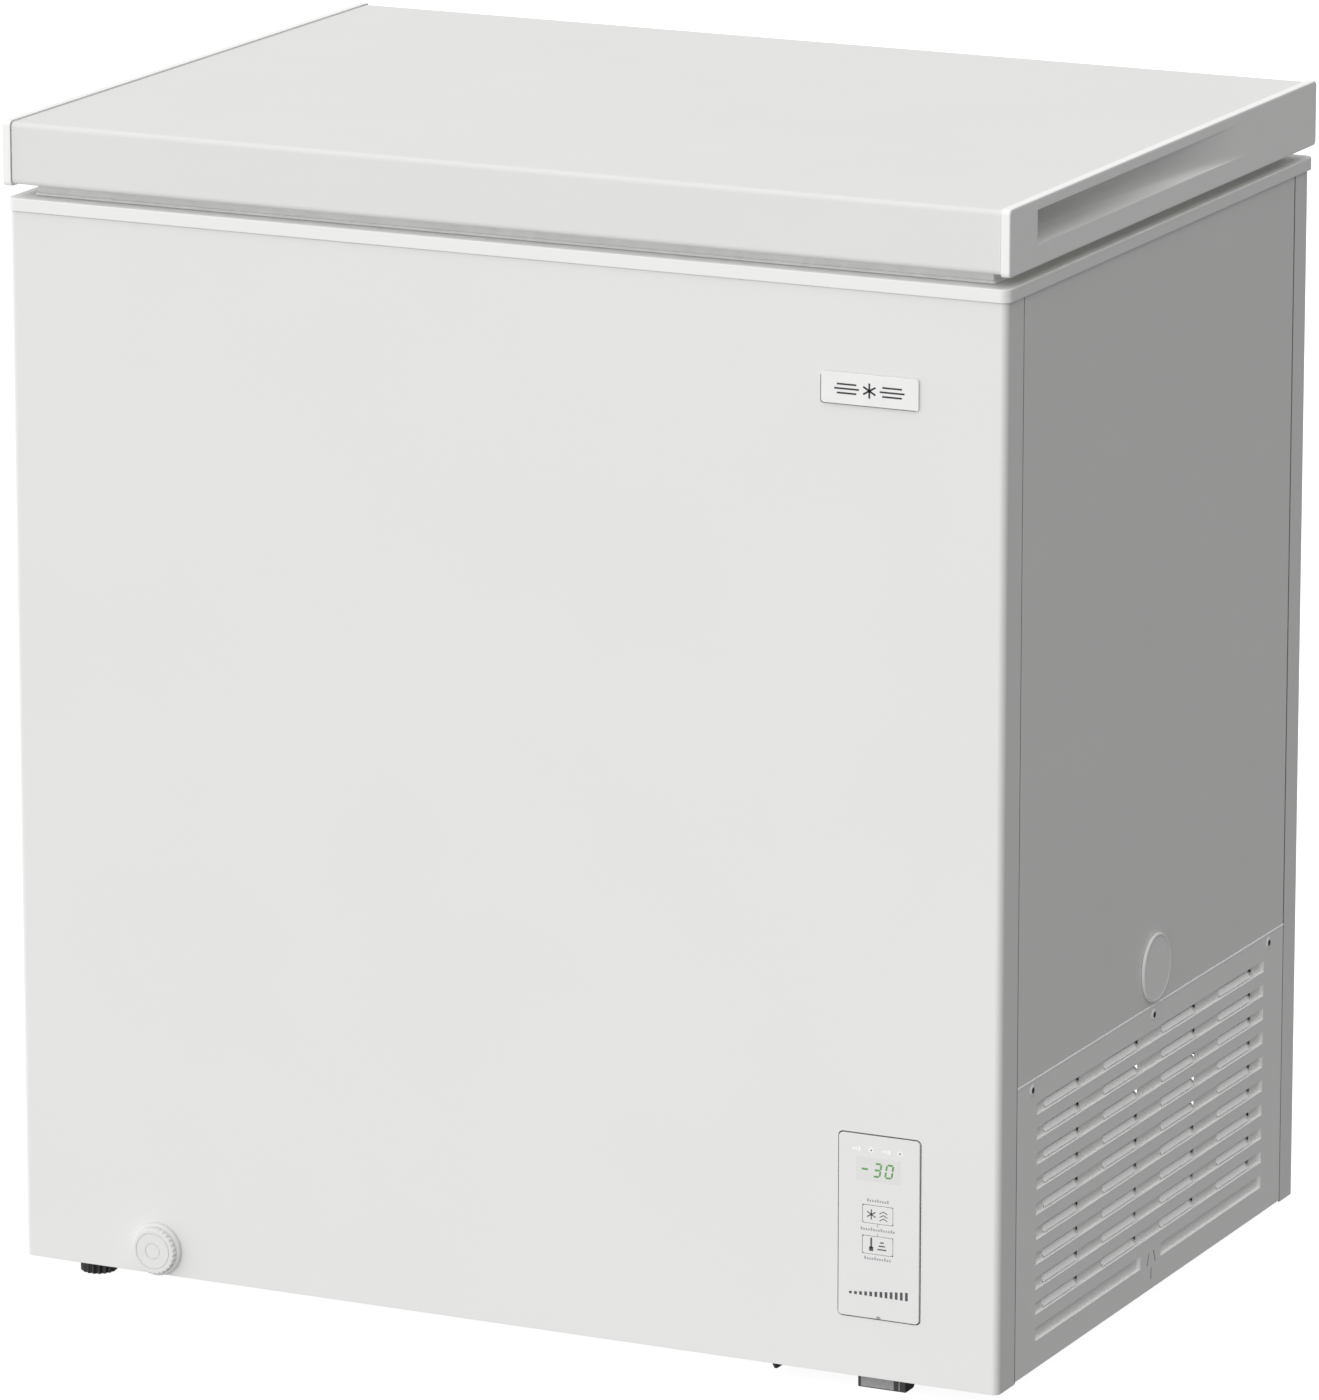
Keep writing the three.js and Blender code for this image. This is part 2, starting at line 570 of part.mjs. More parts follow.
function drainCap() {
  const front = CABINET.front - GAP - DRAIN.collar - GAP;
  const disc = cylinder("y", DRAIN.x, DRAIN.z, DRAIN.cap, front - 4, front, 32);
  const spigot = cylinder("y", DRAIN.x, DRAIN.z, DRAIN.bore - GAP, front - 1, front + 8, 24);
  const notches = [];
  for (let i = 0; i < 16; i++) {
    const angle = (i / 16) * 2 * Math.PI;
    const [x, z] = [DRAIN.x + DRAIN.cap * Math.cos(angle), DRAIN.z + DRAIN.cap * Math.sin(angle)];
    notches.push(cylinder("y", x, z, 1.1, front - 6, front + 1, 8));
  }
  return piece("drain_cap", cut(joined(disc, spigot), ...notches), MATERIAL.whitePlastic);
}

function drainTube() {
  const y0 = CABINET.front - GAP - DRAIN.collar;
  const tube = cylinder("y", DRAIN.x, DRAIN.z, DRAIN.tube, y0, 90, 24);
  const bore = cylinder("y", DRAIN.x, DRAIN.z, DRAIN.bore, y0 - 1, 91, 24);
  return piece("drain_tube", cut(tube, bore), MATERIAL.whitePlastic);
}

// Fixed elbow between the tub's drain hole and the front of the cabinet.
function drainElbow() {
  const y1 = DRAIN.wellY + 10;
  const level = cylinder("y", DRAIN.x, DRAIN.z, 10, CABINET.front + SHEET + 0.6, y1, 24);
  const upright = cylinder("z", DRAIN.x, DRAIN.wellY, 10, DRAIN.z, TUB.floor - TUB.wall - GAP, 24);
  const levelBore = cylinder("y", DRAIN.x, DRAIN.z, DRAIN.tube + GAP, 0, DRAIN.wellY + 6, 24);
  const uprightBore = cylinder("z", DRAIN.x, DRAIN.wellY, 7.5, DRAIN.z, 60, 24);
  return piece("drain_elbow", cut(joined(level, upright), levelBore, uprightBore), MATERIAL.blackPlastic);
}

function drainPlug() {
  const z = TUB.floor + GAP;
  const head = cylinder("z", DRAIN.x, DRAIN.wellY, 14, z, z + 3, 24);
  const stem = cylinder("z", DRAIN.x, DRAIN.wellY, 7, z - 12, z + 1, 24);
  const pull = cylinder("z", DRAIN.x, DRAIN.wellY, 4, z + 2, z + 12, 16);
  return piece("drain_plug", joined(head, stem, pull), MATERIAL.whitePlastic);
}

// ---------------------------------------------------------------- lid

function lidPanel() {
  const { depth, top, cap, panelLip: lip, halfWidth } = LID;
  const [y0, y1, z0, z1] = [lip, depth - lip, LID.bottom + 1.5, top - lip];
  const section = (off, bottom) => {
    const r = 4.5 - off;
    const shape = new THREE.Shape();
    shape.moveTo(y0 + off, bottom);
    shape.lineTo(y1 - off, bottom);
    shape.lineTo(y1 - off, z1 - off - r);
    shape.absarc(y1 - off - r, z1 - off - r, r, 0, Math.PI / 2);
    shape.lineTo(y0 + off + r, z1 - off);
    shape.absarc(y0 + off + r, z1 - off - r, r, Math.PI / 2, Math.PI);
    shape.closePath();
    return shape;
  };
  const x = halfWidth - cap - 0.6;
  const outer = extrude(section(0, z0), "x", -x, x, 6);
  const hollow = extrude(section(SHEET, z0 + SHEET), "x", -x - 1, x + 1, 6);
  const mouth = box(-x - 1, x + 1, y0 + 12, y1 - 12, z0 - 1, z0 + 4);
  return piece("lid_panel", cut(outer, hollow, mouth), MATERIAL.whitePaint);
}

// The grip's cross-section at a place along the lid: a level roof and a floor that slopes out.
function gripSection(side, y, share) {
  const deep = Math.max(GRIP.deep * share, 0.15);
  const outside = LID.halfWidth + 2;
  const ring = [
    [outside, GRIP.top], [LID.halfWidth - deep, GRIP.top - 1], [LID.halfWidth - deep * 0.8, GRIP.top - 8],
    [outside, GRIP.bottom - 1.6],
  ];
  const placed = ring.map(([x, z]) => [side * x, y, z]);
  return side > 0 ? placed.reverse() : placed;
}

function lidCap(name, side) {
  const { halfWidth: w, depth, bottom, top, cap } = LID;
  const outline = roundedRect(0, depth, bottom, top, 4.5);
  const [x0, x1] = side > 0 ? [w - cap, w] : [-w, -w + cap];
  const flange = extrude(outline, "x", x0, x1, 4);
  const [p0, p1] = side > 0 ? [w - 26, w - cap + 1] : [-w + cap - 1, -w + 26];
  const pocket = box(p0, p1, GRIP.front - 8, GRIP.back + 4, GRIP.bottom - 6, LID.top - 3.5);
  const shares = [1, 0.98, 0.9, 0.76, 0.58, 0.36, 0.15, 0];
  const length = GRIP.back - GRIP.front;
  const step = length / (shares.length - 1);
  const rings = shares.map((share, i) => gripSection(side, GRIP.front + step * i, share));
  const scoop = loft(rings);
  return piece(name, cut(joined(flange, pocket), scoop), MATERIAL.whitePlastic);
}

const LID_LINER = { inset: 46, z: 812.2, thick: 1.2, drop: 4.8 };

function lidFoam() {
  const { depth, top, cap, halfWidth: w } = LID;
  const z0 = LID_LINER.z + LID_LINER.thick + GAP;
  const inner = SHEET + GAP + 1;
  const body = box(-w + cap + 1, w - cap - 1, inner, depth - inner - 1, z0 + 2.5, top - 4.7);
  const room = 27;
  const pockets = [-1, 1].map((side) => {
    const [a, b] = side > 0 ? [w - room, w] : [-w, -w + room];
    return box(a, b, GRIP.front - 9, GRIP.back + 5, GRIP.bottom - 7, top);
  });
  const screwRoom = [-1, 1].map((side) =>
    box(side * HINGE.x - 26, side * HINGE.x + 26, depth - 12, depth, LID.bottom, top - 4));
  return piece("lid_foam", cut(body, ...pockets, ...screwRoom), MATERIAL.foam);
}

// Inner face of the lid: a flat tray with a shallow raised field over the tub's mouth.
function lidLiner() {
  const { depth, halfWidth: w } = LID;
  const { z, thick, inset, drop } = LID_LINER;
  const edge = 14;
  const flat = box(-w + edge, w - edge, edge, depth - edge, z, z + thick);
  const [x, y] = [w - inset - 22, inset + 26];
  const field = extrude(roundedRect(-x, x, y, depth - y, 20), "z", z - drop, z + 1);
  const inner = roundedRect(-x + 1, x - 1, y + 1, depth - y - 1, 19);
  const hollow = extrude(inner, "z", z - drop + 1, z + 5);
  return piece("lid_liner", cut(joined(flat, field), hollow), MATERIAL.liner);
}

const GASKET = { halfX: 382, y0: 16, y1: 553, wide: 15 };

function lidGasket() {
  const z1 = LID_LINER.z - GAP;
  const z0 = TRIM.top + 0.4;
  const { halfX: x, y0, y1, wide } = GASKET;
  const outer = extrude(roundedRect(-x, x, y0, y1, 6), "z", z0, z1);
  const inner = extrude(roundedRect(-x + wide, x - wide, y0 + wide, y1 - wide, 4), "z", z0 - 1, z1 + 1);
  const grooveOut = cut(
    extrude(roundedRect(-x - 1, x + 1, y0 - 1, y1 + 1, 6), "z", z0 + 3, z0 + 4.4),
    extrude(roundedRect(-x + 2, x - 2, y0 + 2, y1 - 2, 5), "z", z0 + 2, z0 + 5),
  );
  return piece("lid_gasket", cut(outer, inner, grooveOut), MATERIAL.gasket);
}

// ---------------------------------------------------------------- hinges

// The cheek's outline in y and z: fixed to the cabinet back, round about the pin.
function cheekOutline() {
  const { pinY, pinZ, reach } = HINGE;
  const back = CABINET.back + GAP;
  const r = 9.5;
  const shape = new THREE.Shape();
  shape.moveTo(back, 702);
  shape.lineTo(reach - 10, 702);
  shape.lineTo(reach, 720);
  shape.lineTo(reach, pinZ - 10);
  shape.lineTo(pinY + r, pinZ);
  shape.absarc(pinY, pinZ, r, 0, Math.PI);
  shape.lineTo(pinY - r, 792);
  shape.lineTo(back, 788);
  shape.closePath();
  return shape;
}

function hingeBase(name, x) {
  const back = CABINET.back + GAP;
  const { cheek, thick, pinY, pinZ, pinRadius } = HINGE;
  const web = box(x - cheek - 9, x + cheek + 9, back, back + thick, 690, 788);
  const cheeks = [x - cheek, x + cheek - thick].map((at) => extrude(cheekOutline(), "x", at, at + thick, 8));
  const hole = cylinder("x", pinY, pinZ, pinRadius + GAP, x - 40, x + 40, 24);
  const screws = [-1, 1].flatMap((side) =>
    [700, 778].map((z) => cylinder("y", x + side * (cheek + 5), z, 2.2, back - 2, back + 6, 12)));
  return piece(name, cut(joined(web, ...cheeks), hole, ...screws), MATERIAL.zinc);
}

function hingeLeaf(name, x) {
  const { pinY, pinZ, pinRadius, thick, cheek } = HINGE;
  const y = LID.depth + 0.2;
  const plate = box(x - 26, x + 26, y, y + thick, 819, 856);
  const ear = new THREE.Shape();
  ear.moveTo(y, 846);
  ear.lineTo(y, 822);
  ear.lineTo(pinY - 7.5, pinZ);
  ear.absarc(pinY, pinZ, 7.5, Math.PI, 2.35 * Math.PI);
  ear.lineTo(y + thick + 2, 846);
  ear.closePath();
  const inner = cheek - thick - 0.5;
  const ears = [x - inner, x + inner - thick].map((at) => extrude(ear, "x", at, at + thick, 8));
  const hole = cylinder("x", pinY, pinZ, pinRadius + GAP, x - 40, x + 40, 24);
  return piece(name, cut(joined(plate, ...ears), hole), MATERIAL.zinc);
}

function hingePin(name, x) {
  const { pinY, pinZ, pinRadius, cheek } = HINGE;
  const shaft = cylinder("x", pinY, pinZ, pinRadius, x - cheek - 3, x + cheek + 2, 24);
  const head = cylinder("x", pinY, pinZ, 6.5, x + cheek + GAP, x + cheek + 3, 24);
  return piece(name, joined(shaft, head), MATERIAL.zinc);
}

const SPRING = { coil: 5.9, turns: 3, perTurn: 10, half: 12, wire: 0.9 };

// Torsion spring round the pin, one leg on the base and one on the leaf.
function hingeSpring(name, x) {
  const { pinY, pinZ } = HINGE;
  const { coil, turns, perTurn, half, wire } = SPRING;
  const points = [[x - half, 568.2, 770], [x - half, 571.8, 793]];
  for (let i = 0; i <= turns * perTurn; i++) {
    const angle = Math.PI - (i / perTurn) * 2 * Math.PI;
    const along = x - half + (2 * half * i) / (turns * perTurn);
    points.push([along, pinY + coil * Math.cos(angle), pinZ + coil * Math.sin(angle)]);
  }
  points.push([x + half, pinY - coil - 1.2, 826], [x + half, LID.depth + 4, 842]);
  return piece(name, bar(points, wire), MATERIAL.zinc);
}

// ---------------------------------------------------------------- basket

// Storage basket, open on top, hung on the tub's rim by a lip at its front and rear.
function basket() {
  const { x0, width, depth, wall, reach } = BASKET;
  const x1 = x0 + width;
  const [y0, y1] = [TUB.front + 5, TUB.back - 5];
  const z1 = TUB.rim + 0.4;
  const lipTop = z1 + 3;
  const shell = box(x0, x1, y0, y1, z1 - depth, z1);
  const hollow = box(x0 + wall, x1 - wall, y0 + wall, y1 - wall, z1 - depth + wall, z1 + 5);
  const lips = [
    box(x0, x1, y0 - reach, y0 + wall, z1, lipTop), box(x0, x1, y0, y0 + wall, z1 - wall, lipTop),
    box(x0, x1, y1 - wall, y1 + reach, z1, lipTop), box(x0, x1, y1 - wall, y1, z1 - wall, lipTop),
  ];
  return piece("basket", cut(joined(shell, ...lips), hollow), MATERIAL.wire);
}

// ---------------------------------------------------------------- assembly

const freezer = new THREE.Group();
freezer.position.set(0, -MIDDLE_Y, FOOT);

const shell = new THREE.Group();
shell.add(
  frontPanel(), rearPanel(), sidePanel("side_panel_left", -1), sidePanel("side_panel_right", 1),
  sidePlug(), topTrim(), basePan(), badgePlate(),
);

const storage = new THREE.Group();
storage.add(innerLiner(), cabinetFoam(), evaporatorCoil(), condenserCoil(), basket());

const machinery = new THREE.Group();
machinery.add(
  bayWall(), ventGrille(), compressorTray(), compressorShell(), compressorBracket(), relayBox(),
  filterDrier(), suctionPipe(), dischargePipe(), cordInlet(),
);
GRILLE.screws.forEach((y, i) => machinery.add(grilleScrew(`grille_screw_${i + 1}`, y)));
mountPlaces().forEach((place, i) => machinery.add(grommet(`compressor_grommet_${i + 1}`, place)));

const feet = new THREE.Group();
feet.add(...leftFeet().map(levellingFoot));
feet.add(blockFoot("block_foot_front", 18, 46, true), blockFoot("block_foot_rear", 520, 548, false));

const controls = new THREE.Group();
controls.add(
  controlBezel(), displayWindow(), key("boost_key", KEY.boostZ), key("temperature_key", KEY.tempZ),
  displayModule(), controlBoard(), controlCover(),
);

const drain = new THREE.Group();
drain.add(drainBezel(), drainCap(), drainTube(), drainElbow(), drainPlug());

const lid = new THREE.Group();
lid.add(
  lidPanel(), lidCap("lid_cap_left", -1), lidCap("lid_cap_right", 1), lidFoam(), lidLiner(), lidGasket(),
);

const hinges = new THREE.Group();
for (const [side, x] of [["left", -HINGE.x], ["right", HINGE.x]]) {
  hinges.add(
    hingeBase(`hinge_base_${side}`, x), hingeLeaf(`hinge_leaf_${side}`, x),
    hingePin(`hinge_pin_${side}`, x), hingeSpring(`hinge_spring_${side}`, x),
  );
}

freezer.add(shell, storage, machinery, feet, controls, drain, lid, hinges);

export default freezer;
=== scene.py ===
import json
import math

import bmesh
import bpy
import numpy as np
from bpy.props import FloatProperty, FloatVectorProperty, IntProperty, PointerProperty
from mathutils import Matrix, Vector


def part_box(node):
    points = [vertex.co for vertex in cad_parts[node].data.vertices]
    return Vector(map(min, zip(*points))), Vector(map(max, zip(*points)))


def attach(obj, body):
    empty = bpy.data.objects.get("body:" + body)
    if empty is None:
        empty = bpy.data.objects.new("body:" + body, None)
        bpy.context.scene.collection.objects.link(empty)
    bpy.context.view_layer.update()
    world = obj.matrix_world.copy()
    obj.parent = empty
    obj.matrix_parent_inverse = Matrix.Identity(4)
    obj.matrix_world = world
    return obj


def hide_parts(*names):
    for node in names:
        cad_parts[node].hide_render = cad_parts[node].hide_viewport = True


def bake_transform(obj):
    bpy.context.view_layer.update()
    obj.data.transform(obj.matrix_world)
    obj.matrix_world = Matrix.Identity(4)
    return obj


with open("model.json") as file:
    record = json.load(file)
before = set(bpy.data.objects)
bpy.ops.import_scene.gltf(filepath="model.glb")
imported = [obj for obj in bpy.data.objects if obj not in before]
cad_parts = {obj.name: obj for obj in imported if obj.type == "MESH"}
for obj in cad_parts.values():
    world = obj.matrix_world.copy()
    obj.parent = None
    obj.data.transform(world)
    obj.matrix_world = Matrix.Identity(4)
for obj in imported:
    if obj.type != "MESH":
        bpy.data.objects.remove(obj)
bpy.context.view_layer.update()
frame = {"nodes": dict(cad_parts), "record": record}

bl_info = {
    "name": "Chest Freezer",
    "version": (1, 0, 0),
    "blender": (4, 5, 0),
    "location": "View3D > Sidebar > Freezer",
    "description": "Builds the finished surfaces of a compact chest freezer round its frame",
    "category": "Object",
}

MM = 0.001
BODY_OF = {node: body for body, nodes in frame["record"]["behaviour"]["bodies"].items() for node in nodes}
SLOT_OF = {part["node"]: part["material_slot"] for part in frame["record"]["subparts"]}


def hex_linear(code):
    """An sRGB hex colour such as "E4E4E3" as linear red, green and blue."""
    srgb = np.array([int(code[i : i + 2], 16) for i in (0, 2, 4)]) / 255
    return tuple(np.where(srgb <= 0.04045, srgb / 12.92, ((srgb + 0.055) / 1.055) ** 2.4))


def span(node):
    """Lowest and highest corner of a frame node, as arrays in metres."""
    low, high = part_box(node)
    return np.array(low), np.array(high)


def middle(low, high, axes):
    """Midpoint of a box along the named axes, such as "xy"."""
    return tuple((low["xyz".index(axis)] + high["xyz".index(axis)]) / 2 for axis in axes)


# ------------------------------------------------------------------ shapes


def mesh_object(name, points, faces, sharp_degrees=40):
    """Object at the origin from an array of points and a list of faces, smooth up to an angle."""
    mesh = bpy.data.meshes.new(name)
    mesh.from_pydata(points.reshape(-1, 3).tolist(), [], faces)
    mesh.validate()
    mesh.shade_smooth()
    mesh.set_sharp_from_angle(angle=math.radians(sharp_degrees))
    made = bpy.data.objects.new(name, mesh)
    bpy.context.scene.collection.objects.link(made)
    weighted = made.modifiers.new("even shading", "WEIGHTED_NORMAL")
    weighted.keep_sharp = True
    return made


def strip_faces(rows, columns, closed_rows=False, start=0):
    """Quads of a grid whose columns close on themselves, numbered row by row from start."""
    r = np.arange(rows if closed_rows else rows - 1)[:, None]
    c = np.arange(columns)[None, :]
    below, above = r * columns, ((r + 1) % rows) * columns
    ahead = (c + 1) % columns
    quads = np.stack([below + c, below + ahead, above + ahead, above + c], -1)
    return (quads.reshape(-1, 4) + start).tolist()


def solid_from_grid(grid, closed_rows=False, start=0):
    """Faces of a closed body from a grid of rings: side quads and, unless the rows close, two ends."""
    rows, columns = grid.shape[:2]
    faces = strip_faces(rows, columns, closed_rows, start)
    if not closed_rows:
        faces.append((np.arange(columns)[::-1] + start).tolist())
        faces.append((np.arange(columns) + (rows - 1) * columns + start).tolist())
    return faces


def bodies_object(name, grids, closed_rows=False, sharp_degrees=40):
    """One object from several grids, each a closed body."""
    faces, start = [], 0
    for grid in grids:
        faces += solid_from_grid(grid, closed_rows, start)
        start += grid.shape[0] * grid.shape[1]
    points = np.concatenate([grid.reshape(-1, 3) for grid in grids])
    return mesh_object(name, points, faces, sharp_degrees)


def along(axis, u, v, h):
    """Stacks two in-plane arrays and a height along the axis, keeping a right-handed order."""
    order = {"x": (h, u, v), "y": (v, h, u), "z": (u, v, h)}[axis]
    return np.stack(np.broadcast_arrays(*order), -1)


def rounded_rings(axis, centre, rows, steps=8, ripple=(0, 0)):
    """Rings of rounded rectangles along an axis. Each row is width, height, corner radius and place
    along the axis. A ring point is its corner's centre plus the radius times (cos a, sin a); a ripple
    (depth, count) takes depth * (1 - cos(count * a)) / 2 off the radius."""
    rows = np.asarray(rows, float)
    quarter = np.linspace(0, np.pi / 2, steps + 1)
    angle = (np.arange(4)[:, None] * np.pi / 2 + quarter).ravel()
    signs = np.repeat(np.array([[1, 1], [-1, 1], [-1, -1], [1, -1]]), steps + 1, axis=0)
    width, height, radius, place = (rows[:, i : i + 1] for i in range(4))
    reach = radius - ripple[0] * (1 - np.cos(ripple[1] * angle)) / 2
    u = centre[0] + signs[:, 0] * (width / 2 - radius) + reach * np.cos(angle)
    v = centre[1] + signs[:, 1] * (height / 2 - radius) + reach * np.sin(angle)
    return along(axis, u, v, place)


def slab_rows(width, height, radius, low, high, edge, rounds=3):
    """Rows of a slab with rounded edges: the inset falls as edge * (1 - sin t) while the place moves
    by edge * (1 - cos t), with t from 0 to a quarter turn, and the same again at the far face."""
    t = np.linspace(0, np.pi / 2, rounds + 1)
    inset = np.concatenate([edge * (1 - np.sin(t)), edge * (1 - np.sin(t))[::-1]])
    place = np.concatenate([low + edge * (1 - np.cos(t)), high - edge * (1 - np.cos(t))[::-1]])
    return np.stack([width - 2 * inset, height - 2 * inset, np.maximum(radius - inset, 1e-5), place], -1)


PLANE = {"x": (1, 2), "y": (2, 0), "z": (0, 1)}


def slab(axis, low, high, radius, edge, steps=8, ripple=(0, 0)):
    """Rounded slab that fills a box, its flat faces square to the axis."""
    i, j = PLANE[axis]
    k = "xyz".index(axis)
    rows = slab_rows(high[i] - low[i], high[j] - low[j], radius, low[k], high[k], edge)
    return rounded_rings(axis, middle(low, high, "xyz"[i] + "xyz"[j]), rows, steps, ripple)


def turned(axis, centre, profile, steps=12, ripple=(0, 0)):
    """Body of revolution from rows of radius and place along the axis."""
    profile = np.asarray(profile, float)
    r = np.maximum(profile[:, 0], 1e-5)
    rows = np.stack([2 * r, 2 * r, r, profile[:, 1]], -1)
    return rounded_rings(axis, centre, rows, steps, ripple)


def filleted(points, radius, steps=6):
    """A path through the points in a plane or in space, its corners rounded: each corner becomes
    a quadratic curve that leaves and meets its two sides at the radius from the corner."""
    points = np.asarray(points, float)
    t = np.linspace(0, 1, steps + 1)[:, None]
    path = [points[:1]]
    for before, corner, after in zip(points[:-2], points[1:-1], points[2:]):
        back, ahead = before - corner, after - corner
        reach = min(radius, np.linalg.norm(back) * 0.48, np.linalg.norm(ahead) * 0.48)
        a = corner + back / np.linalg.norm(back) * reach
        b = corner + ahead / np.linalg.norm(ahead) * reach
        path.append((1 - t) ** 2 * a + 2 * t * (1 - t) * corner + t**2 * b)
    path.append(points[-1:])
    return np.concatenate(path)


def bent_sheet(axis, path, thickness, low, high, edge, ends=4):
    """Sheet of even thickness bent along a plane path and carried along the axis: a loop runs up one
    side of the path at half the thickness, round its end in a half circle and back."""
    forward = np.gradient(path, axis=0)
    forward /= np.linalg.norm(forward, axis=1, keepdims=True)
    right = np.stack([forward[:, 1], -forward[:, 0]], -1)
    turn = np.linspace(0, np.pi, ends + 2)[1:-1, None]
    round_end = np.cos(turn) * right[-1] + np.sin(turn) * forward[-1]
    round_start = -np.cos(turn) * right[0] - np.sin(turn) * forward[0]
    middle = np.concatenate([path, path[-1:].repeat(ends, 0), path[::-1], path[:1].repeat(ends, 0)])
    outward = np.concatenate([right, round_end, -right[::-1], round_start])
    t = np.linspace(0, np.pi / 2, 4)
    half = thickness / 2 - edge * (1 - np.sin(t))
    place = edge * (1 - np.cos(t))
    half = np.concatenate([half, half[::-1]])[:, None, None]
    place = np.concatenate([low + place, high - place[::-1]])[:, None]
    loop = middle + half * outward
    return along(axis, loop[..., 0], loop[..., 1], place)


def swept(path, radius, across, sides=10, closed=False):
    """Round wire along a path: each ring is radius * (cos a * side + sin a * lift), where the side is
    square to the path and to the given direction across it, and the lift to both."""
    path = np.asarray(path, float)
    if closed:
        forward = np.roll(path, -1, 0) - np.roll(path, 1, 0)
    else:
        forward = np.gradient(path, axis=0)
    forward /= np.linalg.norm(forward, axis=1, keepdims=True)
    side = np.cross(forward, across)
    side /= np.linalg.norm(side, axis=1, keepdims=True)
    lift = np.cross(side, forward)
    a = (np.arange(sides) / sides * 2 * np.pi)[None, :, None]
    return path[:, None] + radius * (np.cos(a) * side[:, None] - np.sin(a) * lift[:, None])


def prints(name, outlines, place, thick=0.06 * MM, axis="y"):
    """Thin raised print. On a face that looks to the front each outline is an (x, z) polygon, on one
    that looks to the right a (y, z) polygon, both anticlockwise as seen from outside."""
    heights = np.array([[place], [place - thick if axis == "y" else place + thick]])
    grids = []
    for outline in outlines:
        flat = np.asarray(outline, float)
        u, v = (flat[:, 1], flat[:, 0]) if axis == "y" else (flat[:, 0], flat[:, 1])
        grids.append(along(axis, u, v, heights))
    return bodies_object(name, grids)


def softened(node, width, segments=2, flat=False):
    """Copy of a frame node with merged points and rounded edges."""
    source = frame["nodes"][node]
    mesh = source.data.copy()
    work = bmesh.new()
    work.from_mesh(mesh)
    bmesh.ops.remove_doubles(work, verts=work.verts, dist=1e-6)
    bmesh.ops.dissolve_limit(work, angle_limit=math.radians(1), verts=work.verts, edges=work.edges)
    work.to_mesh(mesh)
    work.free()
    if flat:
        mesh.shade_flat()
    else:
        mesh.shade_smooth()
        mesh.set_sharp_from_angle(angle=math.radians(40))
    made = bpy.data.objects.new(node + "_skin", mesh)
    bpy.context.scene.collection.objects.link(made)
    bevel = made.modifiers.new("edges", "BEVEL")
    bevel.width = width
    bevel.segments = segments
    bevel.limit_method = "ANGLE"
    bevel.angle_limit = math.radians(35)
    if not flat:
        weighted = made.modifiers.new("even shading", "WEIGHTED_NORMAL")
        weighted.keep_sharp = True
    return made


def trim_on(made, material, node, slot=None):
    """Gives an extra piece its material and the body of the node that it lies on."""
    made.data.materials.clear()
    made.data.materials.append(material)
    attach(made, BODY_OF[node])
    slot or SLOT_OF[node]


def dress(made, material, node):
    """Gives a piece its material and body, and lets it stand for its frame node."""
    trim_on(made, material, node)
    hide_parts(node)


# ------------------------------------------------------------------ materials


def add_node(tree, kind, settings=None, inputs=None):
    """Adds a shader node. An input is set to a value, or linked where an output socket is given."""
    made = tree.nodes.new(kind)
    for key, value in (settings or {}).items():
        setattr(made, key, value)
    for key, value in (inputs or {}).items():
        if isinstance(value, bpy.types.NodeSocket):
            tree.links.new(value, made.inputs[key])
        else:
            made.inputs[key].default_value = value
    return made


def new_material(name, shader, **features):
    """Material with one principled shader. Its features are functions of the node tree and the object
    coordinates, which give the sockets for base colour, roughness and normal."""
    material = bpy.data.materials.get(name)
    if material:
        return material
    material = bpy.data.materials.new(name)
    material.use_nodes = True
    tree = material.node_tree
    tree.nodes.clear()
    place = add_node(tree, "ShaderNodeTexCoord").outputs["Object"]
    inputs = dict(shader)
    sockets = {"colour": "Base Color", "roughness": "Roughness", "normal": "Normal"}
    for key, feature in features.items():
        inputs[sockets[key]] = feature(tree, place)
    principled = add_node(tree, "ShaderNodeBsdfPrincipled", inputs=inputs)
    add_node(tree, "ShaderNodeOutputMaterial", inputs={"Surface": principled.outputs["BSDF"]})
    return material


def noise(tree, place, size, detail=2.0, stretch=(1, 1, 1)):
    """Noise whose features are about one size across, in metres, stretched along each axis."""
    scale = tuple(1 / (size * s) for s in stretch)
    mapped = add_node(tree, "ShaderNodeMapping", inputs={"Vector": place, "Scale": scale})
    settings = {"noise_dimensions": "3D"}
    inputs = {"Vector": mapped.outputs["Vector"], "Scale": 1.0, "Detail": detail}
    return add_node(tree, "ShaderNodeTexNoise", settings, inputs).outputs["Fac"]


def spread(tree, value, low, high):
    """Maps the middle of a noise to a range."""
    inputs = {"Value": value, "From Min": 0.3, "From Max": 0.7, "To Min": low, "To Max": high}
    return add_node(tree, "ShaderNodeMapRange", inputs=inputs).outputs["Result"]


def tinted(colour, size, amount):
    """Colour that drifts by a share of itself over patches of one size."""

    def feature(tree, place):
        drift = spread(tree, noise(tree, place, size, 3.0), 0, 1)
        dark = tuple(c * (1 - amount) for c in colour) + (1,)
        light = tuple(min(c * (1 + amount), 1) for c in colour) + (1,)
        mix = add_node(tree, "ShaderNodeMix", {"data_type": "RGBA"}, {0: drift, 6: dark, 7: light})
        return mix.outputs[2]

    return feature


def rough(low, high, size):
    """Roughness that drifts between two values over patches of one size."""
    return lambda tree, place: spread(tree, noise(tree, place, size, 2.0), low, high)


def grained(size, depth, detail=2.0, stretch=(1, 1, 1)):
    """Bump from noise of one grain size, depth metres deep."""

    def feature(tree, place):
        height = noise(tree, place, size, detail, stretch)
        inputs = {"Height": height, "Distance": depth, "Strength": 1.0}
        return add_node(tree, "ShaderNodeBump", inputs=inputs).outputs["Normal"]

    return feature


def finished(name, shader, code, drift, roughness, grain):
    """Material from a colour code and its drift, a range of roughness, and a grain."""
    return new_material(
        name, shader, colour=tinted(hex_linear(code), *drift), roughness=rough(*roughness),
        normal=grained(*grain),
    )


